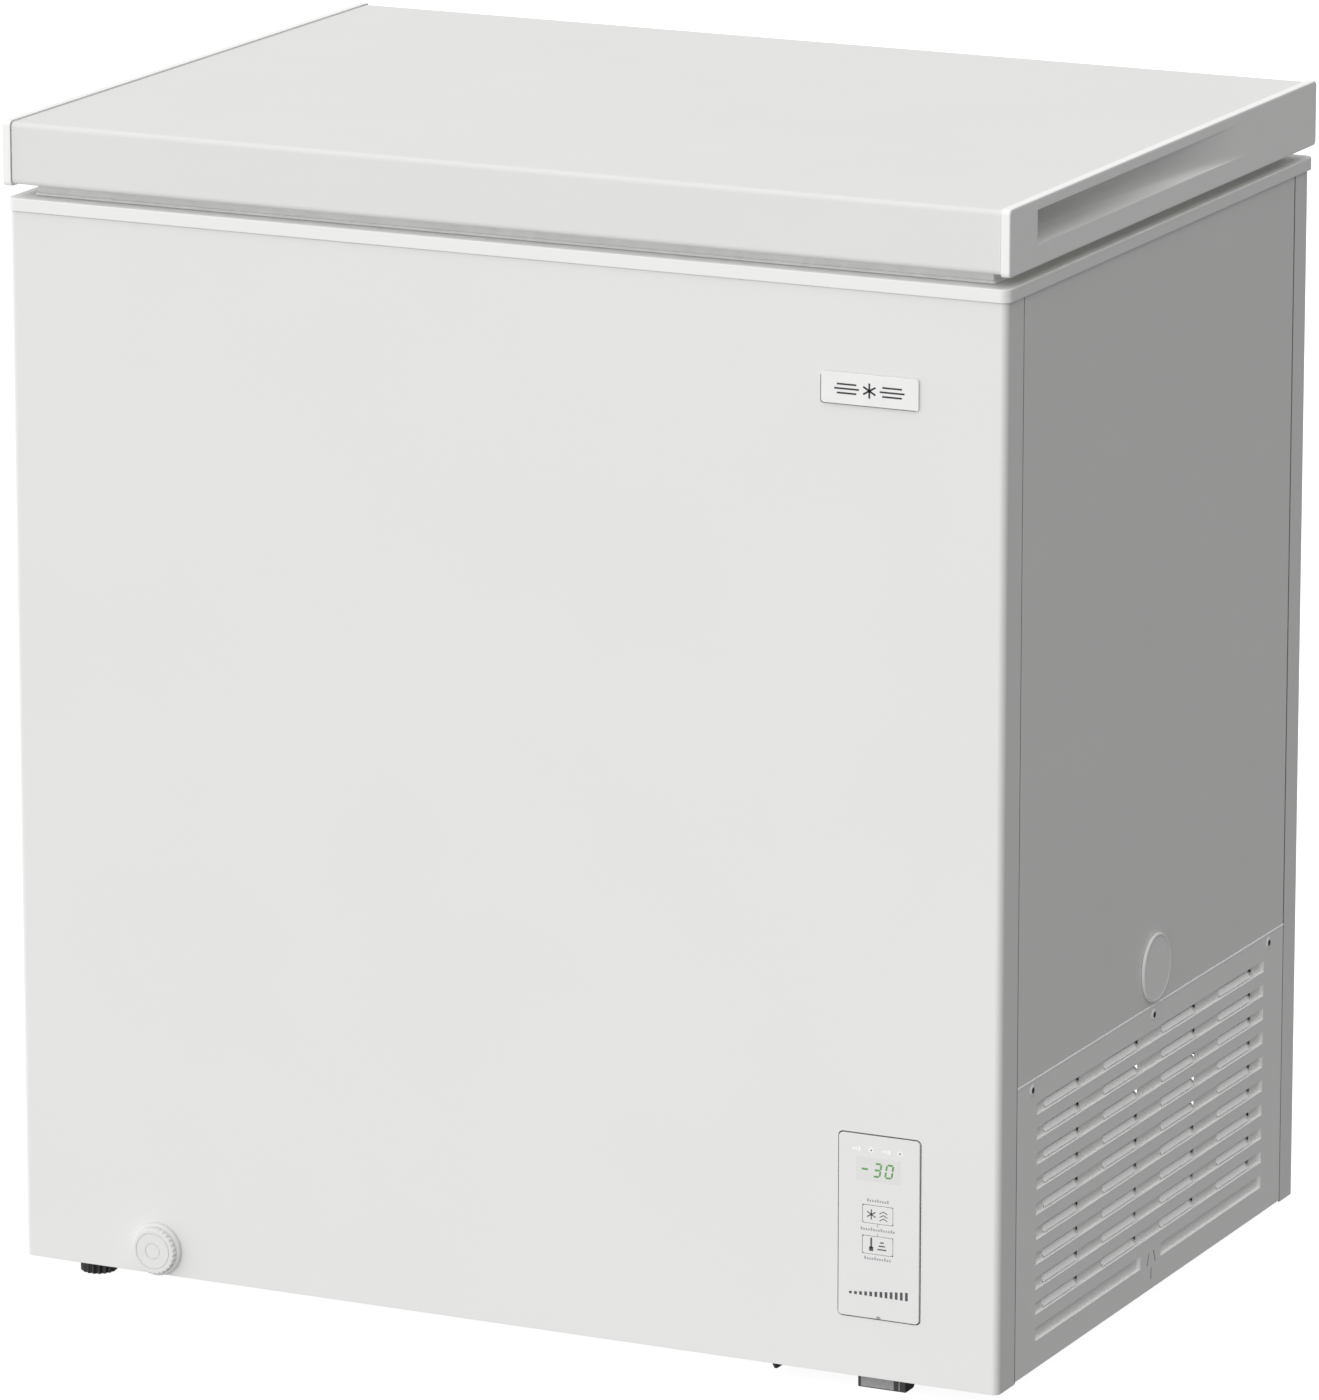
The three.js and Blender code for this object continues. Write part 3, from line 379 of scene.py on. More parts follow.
def enamelled_steel(name="baked enamel on steel", colour=None, grain=2.2 * MM):
    """Baked polyester enamel: near-white, satin, with a faint orange peel of about 2 mm."""
    colour = colour or tuple(bpy.context.scene.freezer_colours.enamel)
    return new_material(
        name, {"IOR": 1.5}, colour=tinted(colour, 0.12, 0.006), roughness=rough(0.5, 0.58, 0.03),
        normal=grained(grain, 0.012 * MM),
    )


def moulded_plastic(
    name="moulded white ABS", colour=None, roughness=(0.52, 0.6), grain=0.7 * MM, glow=0.0
):
    """Injection-moulded ABS: a shade whiter than the enamel, with a fine spark-eroded grain,
    drawn at 0.7 mm so that it shows. The glow is painted light: an emission that brightens the part without
    a lamp."""
    colour = colour or tuple(bpy.context.scene.freezer_colours.plastic)
    shader = {"IOR": 1.53, "Emission Color": colour + (1,), "Emission Strength": glow}
    return new_material(
        name, shader, colour=tinted(colour, 0.05, 0.006), roughness=rough(*roughness, 0.02),
        normal=grained(grain, 0.007 * MM),
    )


def cap_plastic():
    """Moulded white ABS of the lid's end caps: whiter than the enamel, with painted shade in the grips:
    the colour falls towards grey where the mesh's grip shade attribute rises towards one."""
    colour = hex_linear("F7F7F6")

    def grip_shaded(tree, place):
        unshaded = tinted(colour, 0.05, 0.006)(tree, place)
        painted_grip_shade = add_node(tree, "ShaderNodeAttribute", {"attribute_name": "painted_grip_shade"}).outputs["Fac"]
        # Painted shade: deep in the grips the colour falls to 0.3 of itself.
        grey = tuple(c * 0.3 for c in colour) + (1,)
        mix = add_node(tree, "ShaderNodeMix", {"data_type": "RGBA"}, {0: painted_grip_shade, 6: unshaded, 7: grey})
        return mix.outputs[2]

    return new_material(
        "moulded white cap ABS", {"IOR": 1.53}, colour=grip_shaded, roughness=rough(0.52, 0.6, 0.02),
        normal=grained(0.7 * MM, 0.014 * MM),
    )


def black_nylon():
    """Glass-filled nylon: black, dull, slightly uneven where it was handled."""
    return finished(
        "black glass-filled nylon", {"IOR": 1.53}, "29292B",
        drift=(0.01, 0.25), roughness=(0.36, 0.52, 0.006), grain=(0.6 * MM, 0.03 * MM),
    )


def seam_shade():
    """Painted shade: a dark grey line between two sheets, standing for the shade in the seam's gap."""
    return finished(
        "painted seam shade", {"IOR": 1.45}, "6F7172",
        drift=(0.01, 0.1), roughness=(0.6, 0.8, 0.01), grain=(0.8 * MM, 0.03 * MM),
    )


def lit_face_paint():
    """Painted light: a dull grey that stands for the lit front face of a black nylon foot and a highlight on
    its edge.
    """
    return finished(
        "painted lit face", {"IOR": 1.53}, "A2A2A2",
        drift=(0.004, 0.12), roughness=(0.5, 0.7, 0.004), grain=(0.5 * MM, 0.02 * MM),
    )


def soft_vinyl():
    """Extruded PVC gasket: grey-white, matt, with a dusty grain. A faint glow is painted light that
    brightens the gasket where it lies in shade under the lid."""
    glow = {"IOR": 1.52, "Emission Color": (1, 1, 1, 1), "Emission Strength": 0.07}
    return finished(
        "extruded soft vinyl", glow, "D2D2D1",
        drift=(0.012, 0.05), roughness=(0.6, 0.75, 0.01), grain=(1.1 * MM, 0.12 * MM, 4.0),
    )


def zinc_plate():
    """Zinc-plated mild steel: cool grey, clouded, softly shiny."""
    return finished(
        "zinc-plated steel", {"Metallic": 1.0}, "BFC2C4",
        drift=(0.008, 0.12), roughness=(0.28, 0.45, 0.006), grain=(0.5 * MM, 0.01 * MM),
    )


def lacquered_badge():
    """Aluminium under silver-white lacquer: pale and satin, with fine level scratches."""
    return finished(
        "lacquered aluminium", {"Metallic": 0.25, "Anisotropic": 0.4}, "EFEFEE",
        drift=(0.02, 0.02), roughness=(0.4, 0.5, 0.004), grain=(0.25 * MM, 0.003 * MM, 2.0, (40, 1, 1)),
    )


def black_enamel():
    """Stoved black enamel on pressed steel: deep, satin, a little dusty."""
    return finished(
        "stoved black enamel", {"IOR": 1.5}, "1B1C1E",
        drift=(0.02, 0.2), roughness=(0.3, 0.5, 0.01), grain=(1.5 * MM, 0.02 * MM),
    )


def drawn_copper():
    """Drawn copper tube: warm, with browner patches where it has tarnished."""
    return finished(
        "drawn copper", {"Metallic": 1.0}, "B87452",
        drift=(0.01, 0.2), roughness=(0.25, 0.45, 0.008), grain=(0.8 * MM, 0.01 * MM),
    )


def spring_wire():
    """Oiled spring steel: dark grey with a sheen along the wire."""
    return finished(
        "oiled spring steel", {"Metallic": 1.0}, "7C7E80",
        drift=(0.004, 0.15), roughness=(0.25, 0.4, 0.003), grain=(0.4 * MM, 0.008 * MM),
    )


def rigid_foam():
    """Rigid polyurethane foam: straw yellow, matt, with open cells of about a millimetre."""
    return finished(
        "rigid polyurethane foam", {"IOR": 1.45}, "E3DCC0",
        drift=(0.01, 0.1), roughness=(0.85, 0.95, 0.01), grain=(1.2 * MM, 0.4 * MM, 5.0),
    )


def stucco_liner():
    """Stucco-embossed aluminium with white lacquer: soft pebbles about 4 mm across that break up
    reflections."""

    def pebbles(tree, place):
        scale = (1 / (4.5 * MM),) * 3
        mapped = add_node(tree, "ShaderNodeMapping", inputs={"Vector": place, "Scale": scale})
        inputs = {"Vector": mapped.outputs["Vector"], "Scale": 1.0, "Smoothness": 0.6}
        cells = add_node(tree, "ShaderNodeTexVoronoi", {"feature": "SMOOTH_F1"}, inputs)
        bump = {"Height": cells.outputs["Distance"], "Distance": 0.35 * MM, "Strength": 0.8}
        return add_node(tree, "ShaderNodeBump", inputs=bump).outputs["Normal"]

    return new_material(
        "stucco-embossed white aluminium", {"IOR": 1.5}, colour=tinted(hex_linear("ECEDED"), 0.1, 0.008),
        roughness=rough(0.3, 0.4, 0.02), normal=pebbles,
    )


def dipped_wire():
    """Polyethylene-dipped wire: thick, white, glossy coat with slow waves."""
    return finished(
        "polyethylene-dipped wire", {"IOR": 1.51}, "EFEFEE",
        drift=(0.03, 0.01), roughness=(0.22, 0.32, 0.01), grain=(4 * MM, 0.08 * MM),
    )


def print_ink(name, code, glow=0.0):
    """Screen-printed ink or a lit mark: an even colour with a slightly uneven film."""
    colour = hex_linear(code)
    shader = {"IOR": 1.5, "Emission Color": colour + (1,), "Emission Strength": glow}
    return new_material(
        name, shader, colour=tinted(colour, 0.004, 0.04), roughness=rough(0.4, 0.5, 0.003)
    )


def display_lens():
    """Tinted acrylic lens: a shade greyer than the panel, smooth and glossy."""
    return new_material(
        "tinted acrylic", {"IOR": 1.49}, colour=tinted(hex_linear("E2E2E0"), 0.02, 0.01),
        roughness=rough(0.12, 0.2, 0.01),
    )


def circuit_board():
    """Solder-masked glass epoxy: dark green, faintly woven."""
    return finished(
        "solder-masked glass epoxy", {"IOR": 1.55}, "1F5A33",
        drift=(0.003, 0.2), roughness=(0.3, 0.45, 0.004), grain=(0.5 * MM, 0.02 * MM),
    )


def vulcanised_rubber():
    """Vulcanised rubber: soot black, matt."""
    return finished(
        "vulcanised rubber", {"IOR": 1.52}, "1A1A1B",
        drift=(0.006, 0.2), roughness=(0.6, 0.8, 0.005), grain=(0.7 * MM, 0.03 * MM),
    )


def slot_material(slot):
    """The material that carries a slot of the record."""
    makers = {
        "white_paint": enamelled_steel, "white_plastic": moulded_plastic, "key_plastic": moulded_plastic,
        "liner": stucco_liner, "lid_liner": moulded_plastic, "foam": rigid_foam, "gasket": soft_vinyl,
        "black_plastic": black_nylon, "grommet_rubber": vulcanised_rubber, "black_paint": black_enamel,
        "zinc": zinc_plate, "spring_steel": spring_wire, "badge_metal": lacquered_badge,
        "copper": drawn_copper, "coil_steel": spring_wire, "display_window": display_lens,
        "display_module": black_nylon, "circuit_board": circuit_board, "basket_wire": dipped_wire,
    }
    return makers[slot]()


# ------------------------------------------------------------------ settings


def length(name, description, default, **limits):
    """A length in metres that a user may change."""
    return FloatProperty(
        name=name, description=description, default=default, subtype="DISTANCE", unit="LENGTH", **limits
    )


class FreezerSizes(bpy.types.PropertyGroup):
    """Sizes that a user may change."""

    sheet: length("Sheet", "Thickness of the steel sheet as drawn", 1.0 * MM, min=0.4 * MM)
    seam: length("Seam", "Extra width of the open seams beside the side panels", 0.3 * MM, min=0, max=1 * MM)
    bead: length("Seam bead", "Width of the dark bead in the seams", 1.3 * MM, min=0.4 * MM, max=3 * MM)
    lid_corner: length("Lid radius", "Radius of the lid's long edges", 3.8 * MM, min=2 * MM)
    trim_corner: length("Trim radius", "Radius of the trim's corners seen from above", 7 * MM, min=3 * MM)
    grip_depth: length("Grip depth", "Depth of the hand grips at their front end", 19.5 * MM, min=8 * MM)
    wire: length("Basket wire", "Diameter of the basket's wire", 3.2 * MM, min=2 * MM)
    wire_pitch: length("Wire pitch", "Spacing of the basket's wires", 24 * MM, min=10 * MM)
    drain_ribs: IntProperty(
        name="Drain ribs", description="Ribs round the rim of the drain cap", default=28, min=6,
    )


class FreezerColours(bpy.types.PropertyGroup):
    """Colours that a user may change."""

    enamel: FloatVectorProperty(
        name="Enamel", description="Cabinet and lid enamel", subtype="COLOR", min=0, max=1,
        default=hex_linear("E7E7E6"),
    )
    plastic: FloatVectorProperty(
        name="Plastic", description="Trim, end caps, grille and drain", subtype="COLOR", min=0, max=1,
        default=hex_linear("F0F0EF"),
    )
    floor: FloatVectorProperty(
        name="Floor", description="Floor under the freezer", subtype="COLOR", min=0, max=1,
        default=hex_linear("FCFCFC"),
    )


# ------------------------------------------------------------------ pieces


class FREEZER_OT_cabinet(bpy.types.Operator):
    """Steel skins of the cabinet: front wrap, rear wrap and the two side panels"""

    bl_idname = "freezer.cabinet"
    bl_label = "Cabinet skins"

    def execute(self, context):
        sizes = context.scene.freezer_sizes
        enamel = enamelled_steel()
        half = sizes.sheet / 2
        hem = 1.2 * MM
        edge = 0.4 * MM
        for node in ("front_panel", "rear_panel"):
            dress(softened(node, 0.3 * MM), enamel, node)

        for name in ("side_panel_left", "side_panel_right"):
            low, high = span(name)
            x = low[0] + half if low[0] < 0 else high[0] - half
            turn = np.sign(-x) * hem
            y0, y1 = low[1] + half + sizes.seam, high[1] - half - sizes.seam
            run = [(x + turn, y0), (x, y0), (x, y1), (x + turn, y1)]
            run = run[::-1] if x > 0 else run
            sheet = bent_sheet("z", filleted(run, 0.8 * MM, 4), sizes.sheet, low[2], high[2], edge)
            dress(bodies_object(name + "_skin", [sheet]), enamel, name)
            # Painted shade: a dark bead in the two upright seams beside the panel stands for the shade in
            # the gaps.
            face = low[0] if low[0] < 0 else high[0]
            deep = face - np.sign(face) * 0.7 * MM
            beads = []
            for y in (low[1] - 0.2 * MM, high[1] + 0.2 * MM):
                corner = np.array([min(face, deep), y - sizes.bead / 2, 13.5 * MM])
                far = np.array([max(face, deep), y + sizes.bead / 2, high[2]])
                proud = [np.sign(face) * 0.08 * MM, 0, 0]
                beads.append(slab("z", corner, far, 0.3 * MM, 0.1 * MM, 3) + proud)
            trim_on(bodies_object(name + "_seams", beads), seam_shade(), name)

        return {"FINISHED"}


class FREEZER_OT_trim(bpy.types.Operator):
    """Plastic trim round the mouth of the tub, and the gasket under the lid"""

    bl_idname = "freezer.trim"
    bl_label = "Trim and gasket"

    def execute(self, context):
        sizes = context.scene.freezer_sizes
        low, high = span("top_trim")
        tub_low, tub_high = span("inner_liner")
        gap = 0.3 * MM
        centre = middle(low, high, "xy")
        outer = (high[0] - low[0], high[1] - low[1])
        inner = (tub_high[0] - tub_low[0] + 2 * gap, tub_high[1] - tub_low[1] + 2 * gap)
        corner, edge = sizes.trim_corner, 1.0 * MM
        t = np.linspace(0, np.pi / 2, 5)
        rounding = [
            (outer[0] - 2 * edge * (1 - math.sin(a)), outer[1] - 2 * edge * (1 - math.sin(a)),
             corner - edge * (1 - math.sin(a)), low[2] + edge * 0.5 * (1 - math.cos(a)))
            for a in t
        ]
        top = [
            (outer[0] - 2 * edge * (1 - math.cos(a)), outer[1] - 2 * edge * (1 - math.cos(a)),
             corner - edge * (1 - math.cos(a)), high[2] - edge * (1 - math.sin(a)))
            for a in t
        ]
        small = 1.0 * MM
        inside = [(inner[0], inner[1], small, high[2]), (inner[0], inner[1], small, low[2])]
        ring = rounded_rings("z", centre, rounding + top + inside, 10)
        dress(bodies_object("mouth_trim", [ring], closed_rows=True), moulded_plastic(), "top_trim")

        low, high = span("lid_gasket")
        wide, height = high[0] - low[0], high[2] - low[2]
        deep = high[1] - low[1]
        centre = middle(low, high, "xy")
        # Outward offset in mm and share of the height: flat sealing lip, step, upright face, dart.
        section = np.array([
            (-0.6, 0.0), (0.0, 0.04), (0.0, 0.26), (-0.5, 0.32), (-1.5, 0.36), (-1.6, 0.9), (-1.2, 1.0),
            (-14.6, 1.0), (-14.9, 0.8), (-14.2, 0.5), (-14.8, 0.2), (-14.0, 0.0),
        ])
        rows = [
            (wide + 2 * o * MM, deep + 2 * o * MM, 2.5 * MM + max(o, -2.0) * MM, low[2] + h * height)
            for o, h in section
        ]
        ring = rounded_rings("z", centre, rows, 8)
        dress(bodies_object("door_gasket", [ring], closed_rows=True), soft_vinyl(), "lid_gasket")
        return {"FINISHED"}


def smooth_step(share):
    """Eases from 0 to 1 as s^2 * (3 - 2 s)."""
    return share * share * (3 - 2 * share)


CAP_THICK = 6.8 * MM


def cap_surface(side, low, high, grip_depth, corner, edge):
    """Outer and inner grid of the lid's end cap, and the painted shade in its grip. Over (y, z) the outer
    face stands at the cap's full width less the grip's depth, D * (1 - u^2)^2 * f(t). Here u runs back
    along the grip, and f follows a quarter circle from the lower lip to t = 0.2 and then falls by
    0.72 * ((t - 0.2) / 0.8) ^ 1.4."""
    grip_y = (low[1] + 48 * MM, low[1] + 440 * MM)
    grip_z = (low[2] + 15.5 * MM, low[2] + 40.3 * MM)
    lip = 0.8 * MM
    bend = corner * (1 - np.cos(np.linspace(0, np.pi / 2, 10)))
    y = np.unique(np.concatenate([
        low[1] + bend, np.linspace(low[1] + corner, grip_y[0] - lip, 5),
        grip_y[0] + lip * np.linspace(-0.5, 1, 7), np.linspace(grip_y[0] + lip, grip_y[1], 60),
        np.linspace(grip_y[1], high[1] - corner, 8), high[1] - bend,
    ]))
    z = np.unique(np.concatenate([
        low[2] + bend, np.linspace(low[2] + corner, grip_z[0] - lip, 4),
        grip_z[0] + lip * np.linspace(-1, 1, 9), np.linspace(grip_z[0] + lip, grip_z[1] - lip, 22),
        grip_z[1] + lip * np.linspace(-1, 0.5, 9), high[2] - bend,
    ]))
    yy, zz = np.meshgrid(y, z, indexing="ij")
    u = np.clip((yy - grip_y[0]) / (grip_y[1] - grip_y[0]), 0, 1)
    rise = np.clip((zz - grip_z[0]) / (grip_z[1] - grip_z[0]), 0, 1)
    front_wall = np.clip((yy - grip_y[0]) / lip + 0.25, 0, 1)
    roof = np.clip((grip_z[1] - zz) / lip + 0.25, 0, 1)
    low_part = np.sqrt(np.maximum(1 - (1 - np.minimum(rise / 0.2, 1)) ** 2, 0))
    high_part = 1 - 0.72 * np.maximum((rise - 0.2) / 0.8, 0) ** 1.4
    depth = grip_depth * (1 - u**2) ** 2 * low_part * high_part
    depth = depth * smooth_step(front_wall) * smooth_step(roof)
    # Points outside the rounded outline are drawn in to it, and the face falls off along its edge.
    q = np.stack([
        np.maximum(corner - (yy - low[1]), corner - (high[1] - yy)),
        np.maximum(corner - (zz - low[2]), corner - (high[2] - zz)),
    ])
    outside = np.hypot(*np.maximum(q, 0)) + np.minimum(q.max(0), 0)
    scale = np.where(outside > corner, corner / np.maximum(outside, 1e-9), 1.0)
    centre_y = np.clip(yy, low[1] + corner, high[1] - corner)
    centre_z = np.clip(zz, low[2] + corner, high[2] - corner)
    yy2 = centre_y + (yy - centre_y) * scale
    zz2 = centre_z + (zz - centre_z) * scale
    near = np.clip((corner - np.minimum(outside, corner)) / edge, 0, 1)
    fall = edge * (1 - np.sqrt(np.maximum(1 - (1 - near) ** 2, 0)))
    outer_x = high[0] if side > 0 else low[0]
    face = np.stack([outer_x - side * (depth + fall), yy2, zz2], -1)
    inner_x = outer_x - side * CAP_THICK
    pocket_x = outer_x - side * (depth + 1.4 * MM)
    back = np.stack([np.minimum(inner_x * side, pocket_x * side) * side, yy2, zz2], -1)
    # Painted shade: darkest where the grip is deep and near its roof.
    painted_grip_shade = depth / grip_depth * (0.35 + 0.65 * rise)
    return face, back, painted_grip_shade


def closed_sheet(name, face, back, outward, sharp_degrees=50):
    """Closed body between two grids of equal shape, joined round their borders."""
    rows, columns = face.shape[:2]
    count = rows * columns
    index = np.arange(count).reshape(rows, columns)
    quads = np.stack([index[:-1, :-1], index[1:, :-1], index[1:, 1:], index[:-1, 1:]], -1).reshape(-1, 4)
    border = np.concatenate([index[:, 0], index[-1, 1:], index[-2::-1, -1], index[0, -2:0:-1]])
    ahead = np.roll(border, -1)
    rim = np.stack([border, border + count, ahead + count, ahead], -1)
    if outward > 0:
        faces = np.concatenate([quads, quads[:, ::-1] + count, rim])
    else:
        faces = np.concatenate([quads[:, ::-1], quads + count, rim[:, ::-1]])
    points = np.concatenate([face.reshape(-1, 3), back.reshape(-1, 3)])
    return mesh_object(name, points, faces.tolist(), sharp_degrees)


class FREEZER_OT_lid(bpy.types.Operator):
    """Lid: steel top, plastic end caps with hand grips, and the inner face"""

    bl_idname = "freezer.lid"
    bl_label = "Lid"

    def execute(self, context):
        sizes = context.scene.freezer_sizes
        low, high = span("lid_panel")
        half = sizes.sheet / 2
        y0, y1, z0, z1 = low[1] + half, high[1] - half, low[2] + half, high[2] - half
        flange = 14 * MM
        path = [(y0 + flange, z0), (y0, z0), (y0, z1), (y1, z1), (y1, z0), (y1 - flange, z0)]
        rounded = filleted(path, sizes.lid_corner, 8)[::-1]
        sheet = bent_sheet("x", rounded, sizes.sheet, low[0], high[0], 0.4 * MM)
        lid_enamel = enamelled_steel("baked enamel on the lid", hex_linear("E3E3E1"), 2.2 * MM)
        dress(bodies_object("lid_top", [sheet]), lid_enamel, "lid_panel")

        for side, node in ((-1, "lid_cap_left"), (1, "lid_cap_right")):
            low, high = span(node)
            face, back, painted_grip_shade = cap_surface(side, low, high, sizes.grip_depth, sizes.lid_corner, 1.1 * MM)
            made = closed_sheet(node + "_skin", face, back, side)
            # The grip's painted shade goes on the mesh as a point attribute that the cap's material reads.
            shade = made.data.attributes.new("painted_grip_shade", "FLOAT", "POINT")
            shade.data.foreach_set("value", np.tile(painted_grip_shade.ravel(), 2))
            dress(made, cap_plastic(), node)

        dress(softened("lid_liner", 2.0 * MM, segments=3), moulded_plastic(), "lid_liner")
        return {"FINISHED"}


class FREEZER_OT_tub(bpy.types.Operator):
    """Tub inside the cabinet, with its step over the compressor"""

    bl_idname = "freezer.tub"
    bl_label = "Tub"

    def execute(self, context):
        dress(softened("inner_liner", 0.45 * MM), stucco_liner(), "inner_liner")
        return {"FINISHED"}


# The grille's louvres, in mm from its lower front corner: rows from the top one down, slots from the
# front back, the reach of a row, and the two blind rows at the foot.
LOUVRE = {"top_row": 190, "row_pitch": 18.7, "rows": 9, "first_slot": 54.1, "slot_pitch": 109, "slots": 4}
BLADE_LENGTH = 58 * MM
ROW_REACH = (36.1, 463.6)
BLIND_ROW = 20.5
BLIND_REACH = ((36.1, 230.1), (268.6, 463.6))


def louvre_bodies():
    """Louvre blades, the lips under their rows and the grille's upper hem, each a closed body. A blade
    leans inwards as it rises, as its section says in mm from the grille's face and its row's foot."""
    low, high = span("vent_grille")
    face = high[0]
    rows = low[2] + (LOUVRE["top_row"] - LOUVRE["row_pitch"] * np.arange(LOUVRE["rows"])) * MM
    slots = low[1] + (LOUVRE["first_slot"] + LOUVRE["slot_pitch"] * np.arange(LOUVRE["slots"])) * MM
    blade = np.array([(-1.4, 1.2), (-0.9, 1.8), (-3.6, 5.9), (-4.1, 5.3)]) * MM
    bodies = []
    for foot in rows:
        for start in slots:
            ends = np.array([[start], [start + BLADE_LENGTH]])
            bodies.append(along("y", foot + blade[:, 1], face + blade[:, 0], ends)[:, ::-1])
    lips = [(*ROW_REACH, foot) for foot in rows]
    lips += [(*reach, low[2] + BLIND_ROW * MM) for reach in BLIND_REACH]
    for start, end, foot in lips:
        corner = np.array([face - 2.6 * MM, low[1] + start * MM, foot - 0.3 * MM])
        far = np.array([face + 0.2 * MM, low[1] + end * MM, foot + 0.35 * MM])
        bodies.append(slab("y", corner, far, 0.2 * MM, 0.1 * MM, 3))
    corner = np.array([face - 1 * MM, low[1] + 0.3 * MM, high[2] - 1.2 * MM])
    bodies.append(slab("y", corner, high + (0.5 * MM, 0, 0.1 * MM), 0.3 * MM, 0.2 * MM, 3))
    return bodies


class FREEZER_OT_grille(bpy.types.Operator):
    """Vent grille with its louvres, its screws, and the plug over the foaming hole"""

    bl_idname = "freezer.grille"
    bl_label = "Grille and plug"

    def execute(self, context):
        plastic = moulded_plastic()
        dress(softened("vent_grille", 0.3 * MM, flat=True), plastic, "vent_grille")
        dark = black_nylon()
        x = span("vent_grille")[1][0]
        # Painted light: the louvres are a brighter white than the grille and glow faintly, so that their
        # blades and lips read as lit.
        louvre_painted_light = moulded_plastic("louvre ABS with painted light", hex_linear("FFFFFE"), (0.55, 0.65), glow=0.04)
        trim_on(bodies_object("grille_louvres", louvre_bodies()), louvre_painted_light, "vent_grille")
        for i in (1, 2, 3):
            node = f"grille_screw_{i}"
            low, high = span(node)
            centre = middle(low, high, "yz")
            # Screw heads drawn dark: painted shade that makes them read as shaded screw holes.
            head = [(1.9, 0.3), (2.2, 0.5), (2.2, 0.75), (1.7, 0.95), (0.9, 0.95), (0.6, 0.4)]
            profile = [(1.9 * MM, low[0])] + [(r * MM, x + h * MM) for r, h in head]
            dress(bodies_object(node + "_head", [turned("x", centre, profile, 6)]), dark, node)
            washer = [(2.3, -0.2), (4.6, -0.2), (4.6, 0.1), (3.9, 0.7), (2.9, 0.9), (2.4, 0.7)]
            ring = turned("x", centre, [(r * MM, x + h * MM) for r, h in washer], 8)
            boss = bodies_object(f"grille_boss_{i}", [ring[::-1]], closed_rows=True)
            trim_on(boss, plastic, "vent_grille")
        low, high = span("vent_grille")
        y, foot = (low[1] + high[1]) / 2, low[2]
        # Painted shade: three dark printed bars stand for the shade inside the grille's clip slits.
        slit = (0.9 * MM, 9 * MM)
        slits = [bar_mark(y + k * 6 * MM, foot + 24 * MM, *slit, -0.4 * k) for k in (-1, 1)]
        slits.append(bar_mark(y, foot + 12 * MM, *slit))
        slit_shade = print_ink("shaded slit", "3A3B3C")
        marks = prints("grille_clip_slits", slits, x, 0.05 * MM, "x")
        trim_on(marks, slit_shade, "vent_grille", "black_plastic")

        low, high = span("foam_hole_plug")
        centre = middle(low, high, "yz")
        radius = (high[1] - low[1]) / 2
        base = high[0] - 2.4 * MM
        t = np.linspace(0, np.pi / 2, 6)
        rim = np.stack([radius - 1.3 * MM * (1 - np.cos(t)), base + 0.8 * MM + 1.6 * MM * np.sin(t)], -1)
        profile = np.concatenate([
            [(13 * MM, low[0]), (13 * MM, base), (radius - 0.3 * MM, base), (radius, base + 0.3 * MM)],
            rim, [(radius - 2.4 * MM, high[0]), (radius - 3.4 * MM, high[0] - 0.7 * MM)],
        ])
        plug = bodies_object("foaming_plug", [turned("x", centre, profile, 16)])
        dress(plug, plastic, "foam_hole_plug")
        return {"FINISHED"}


def bar_mark(x, z, width, height, slant=0.0):
    """A slanted bar as four (x, z) points, anticlockwise from the front."""
    corners = np.array([(-0.5, -0.5), (0.5, -0.5), (0.5, 0.5), (-0.5, 0.5)]) * (width, height)
    corners[:, 0] += corners[:, 1] * slant
    return corners + (x, z)


def strip_outlines(first, second):
    """Four-sided outlines between two paths of equal length."""
    return [np.array([first[i], first[i + 1], second[i + 1], second[i]]) for i in range(len(first) - 1)]


def arm_marks(x, z, reach, line, arms=6):
    """Snowflake: thin bars through one centre, each turned on from the last and making two arms."""
    marks = []
    for k in range(arms // 2):
        angle = k * 2 * math.pi / arms
        turn = np.array([[math.cos(angle), math.sin(angle)], [-math.sin(angle), math.cos(angle)]])
        marks.append(bar_mark(0, 0, line, 2 * reach) @ turn + (x, z))
    return marks


def arrow_mark(x, z, reach, line):
    """Chevron that points up: a bent bar of six points."""
    outline = [(-reach, -reach), (0, 0), (reach, -reach), (reach, -reach + 1.4 * line), (0, 1.4 * line),
               (-reach, -reach + 1.4 * line)]
    return np.array(outline) * (0.9, 0.5) + (x, z)


SEGMENTS = {
    "a": (0, 1, "level"), "g": (0, 0, "level"), "d": (0, -1, "level"),
    "b": (1, 0.5, "upright"), "c": (1, -0.5, "upright"),
    "f": (-1, 0.5, "upright"), "e": (-1, -0.5, "upright"),
}


def digit_marks(lit, x, z, width, height, line, slant):
    """Seven-segment figure: each lit segment is a six-sided bar with pointed ends, slanted by a share
    of its height."""
    marks = []
    for key in lit:
        u, v, way = SEGMENTS[key]
        length = (width if way == "level" else height / 2) - line * 0.35
        point = 0.5 * line / length
        outline = [(-0.5, 0), (-0.5 + point, -0.5), (0.5 - point, -0.5), (0.5, 0), (0.5 - point, 0.5),
                   (-0.5 + point, 0.5)]
        bar = np.array(outline) * (length, line)
        if way == "upright":
            bar = np.stack([-bar[:, 1], bar[:, 0]], -1)
        place = bar + (u * width / 2, v * height / 2)
        place[:, 0] += place[:, 1] * slant
        marks.append(place + (x, z))
    return marks


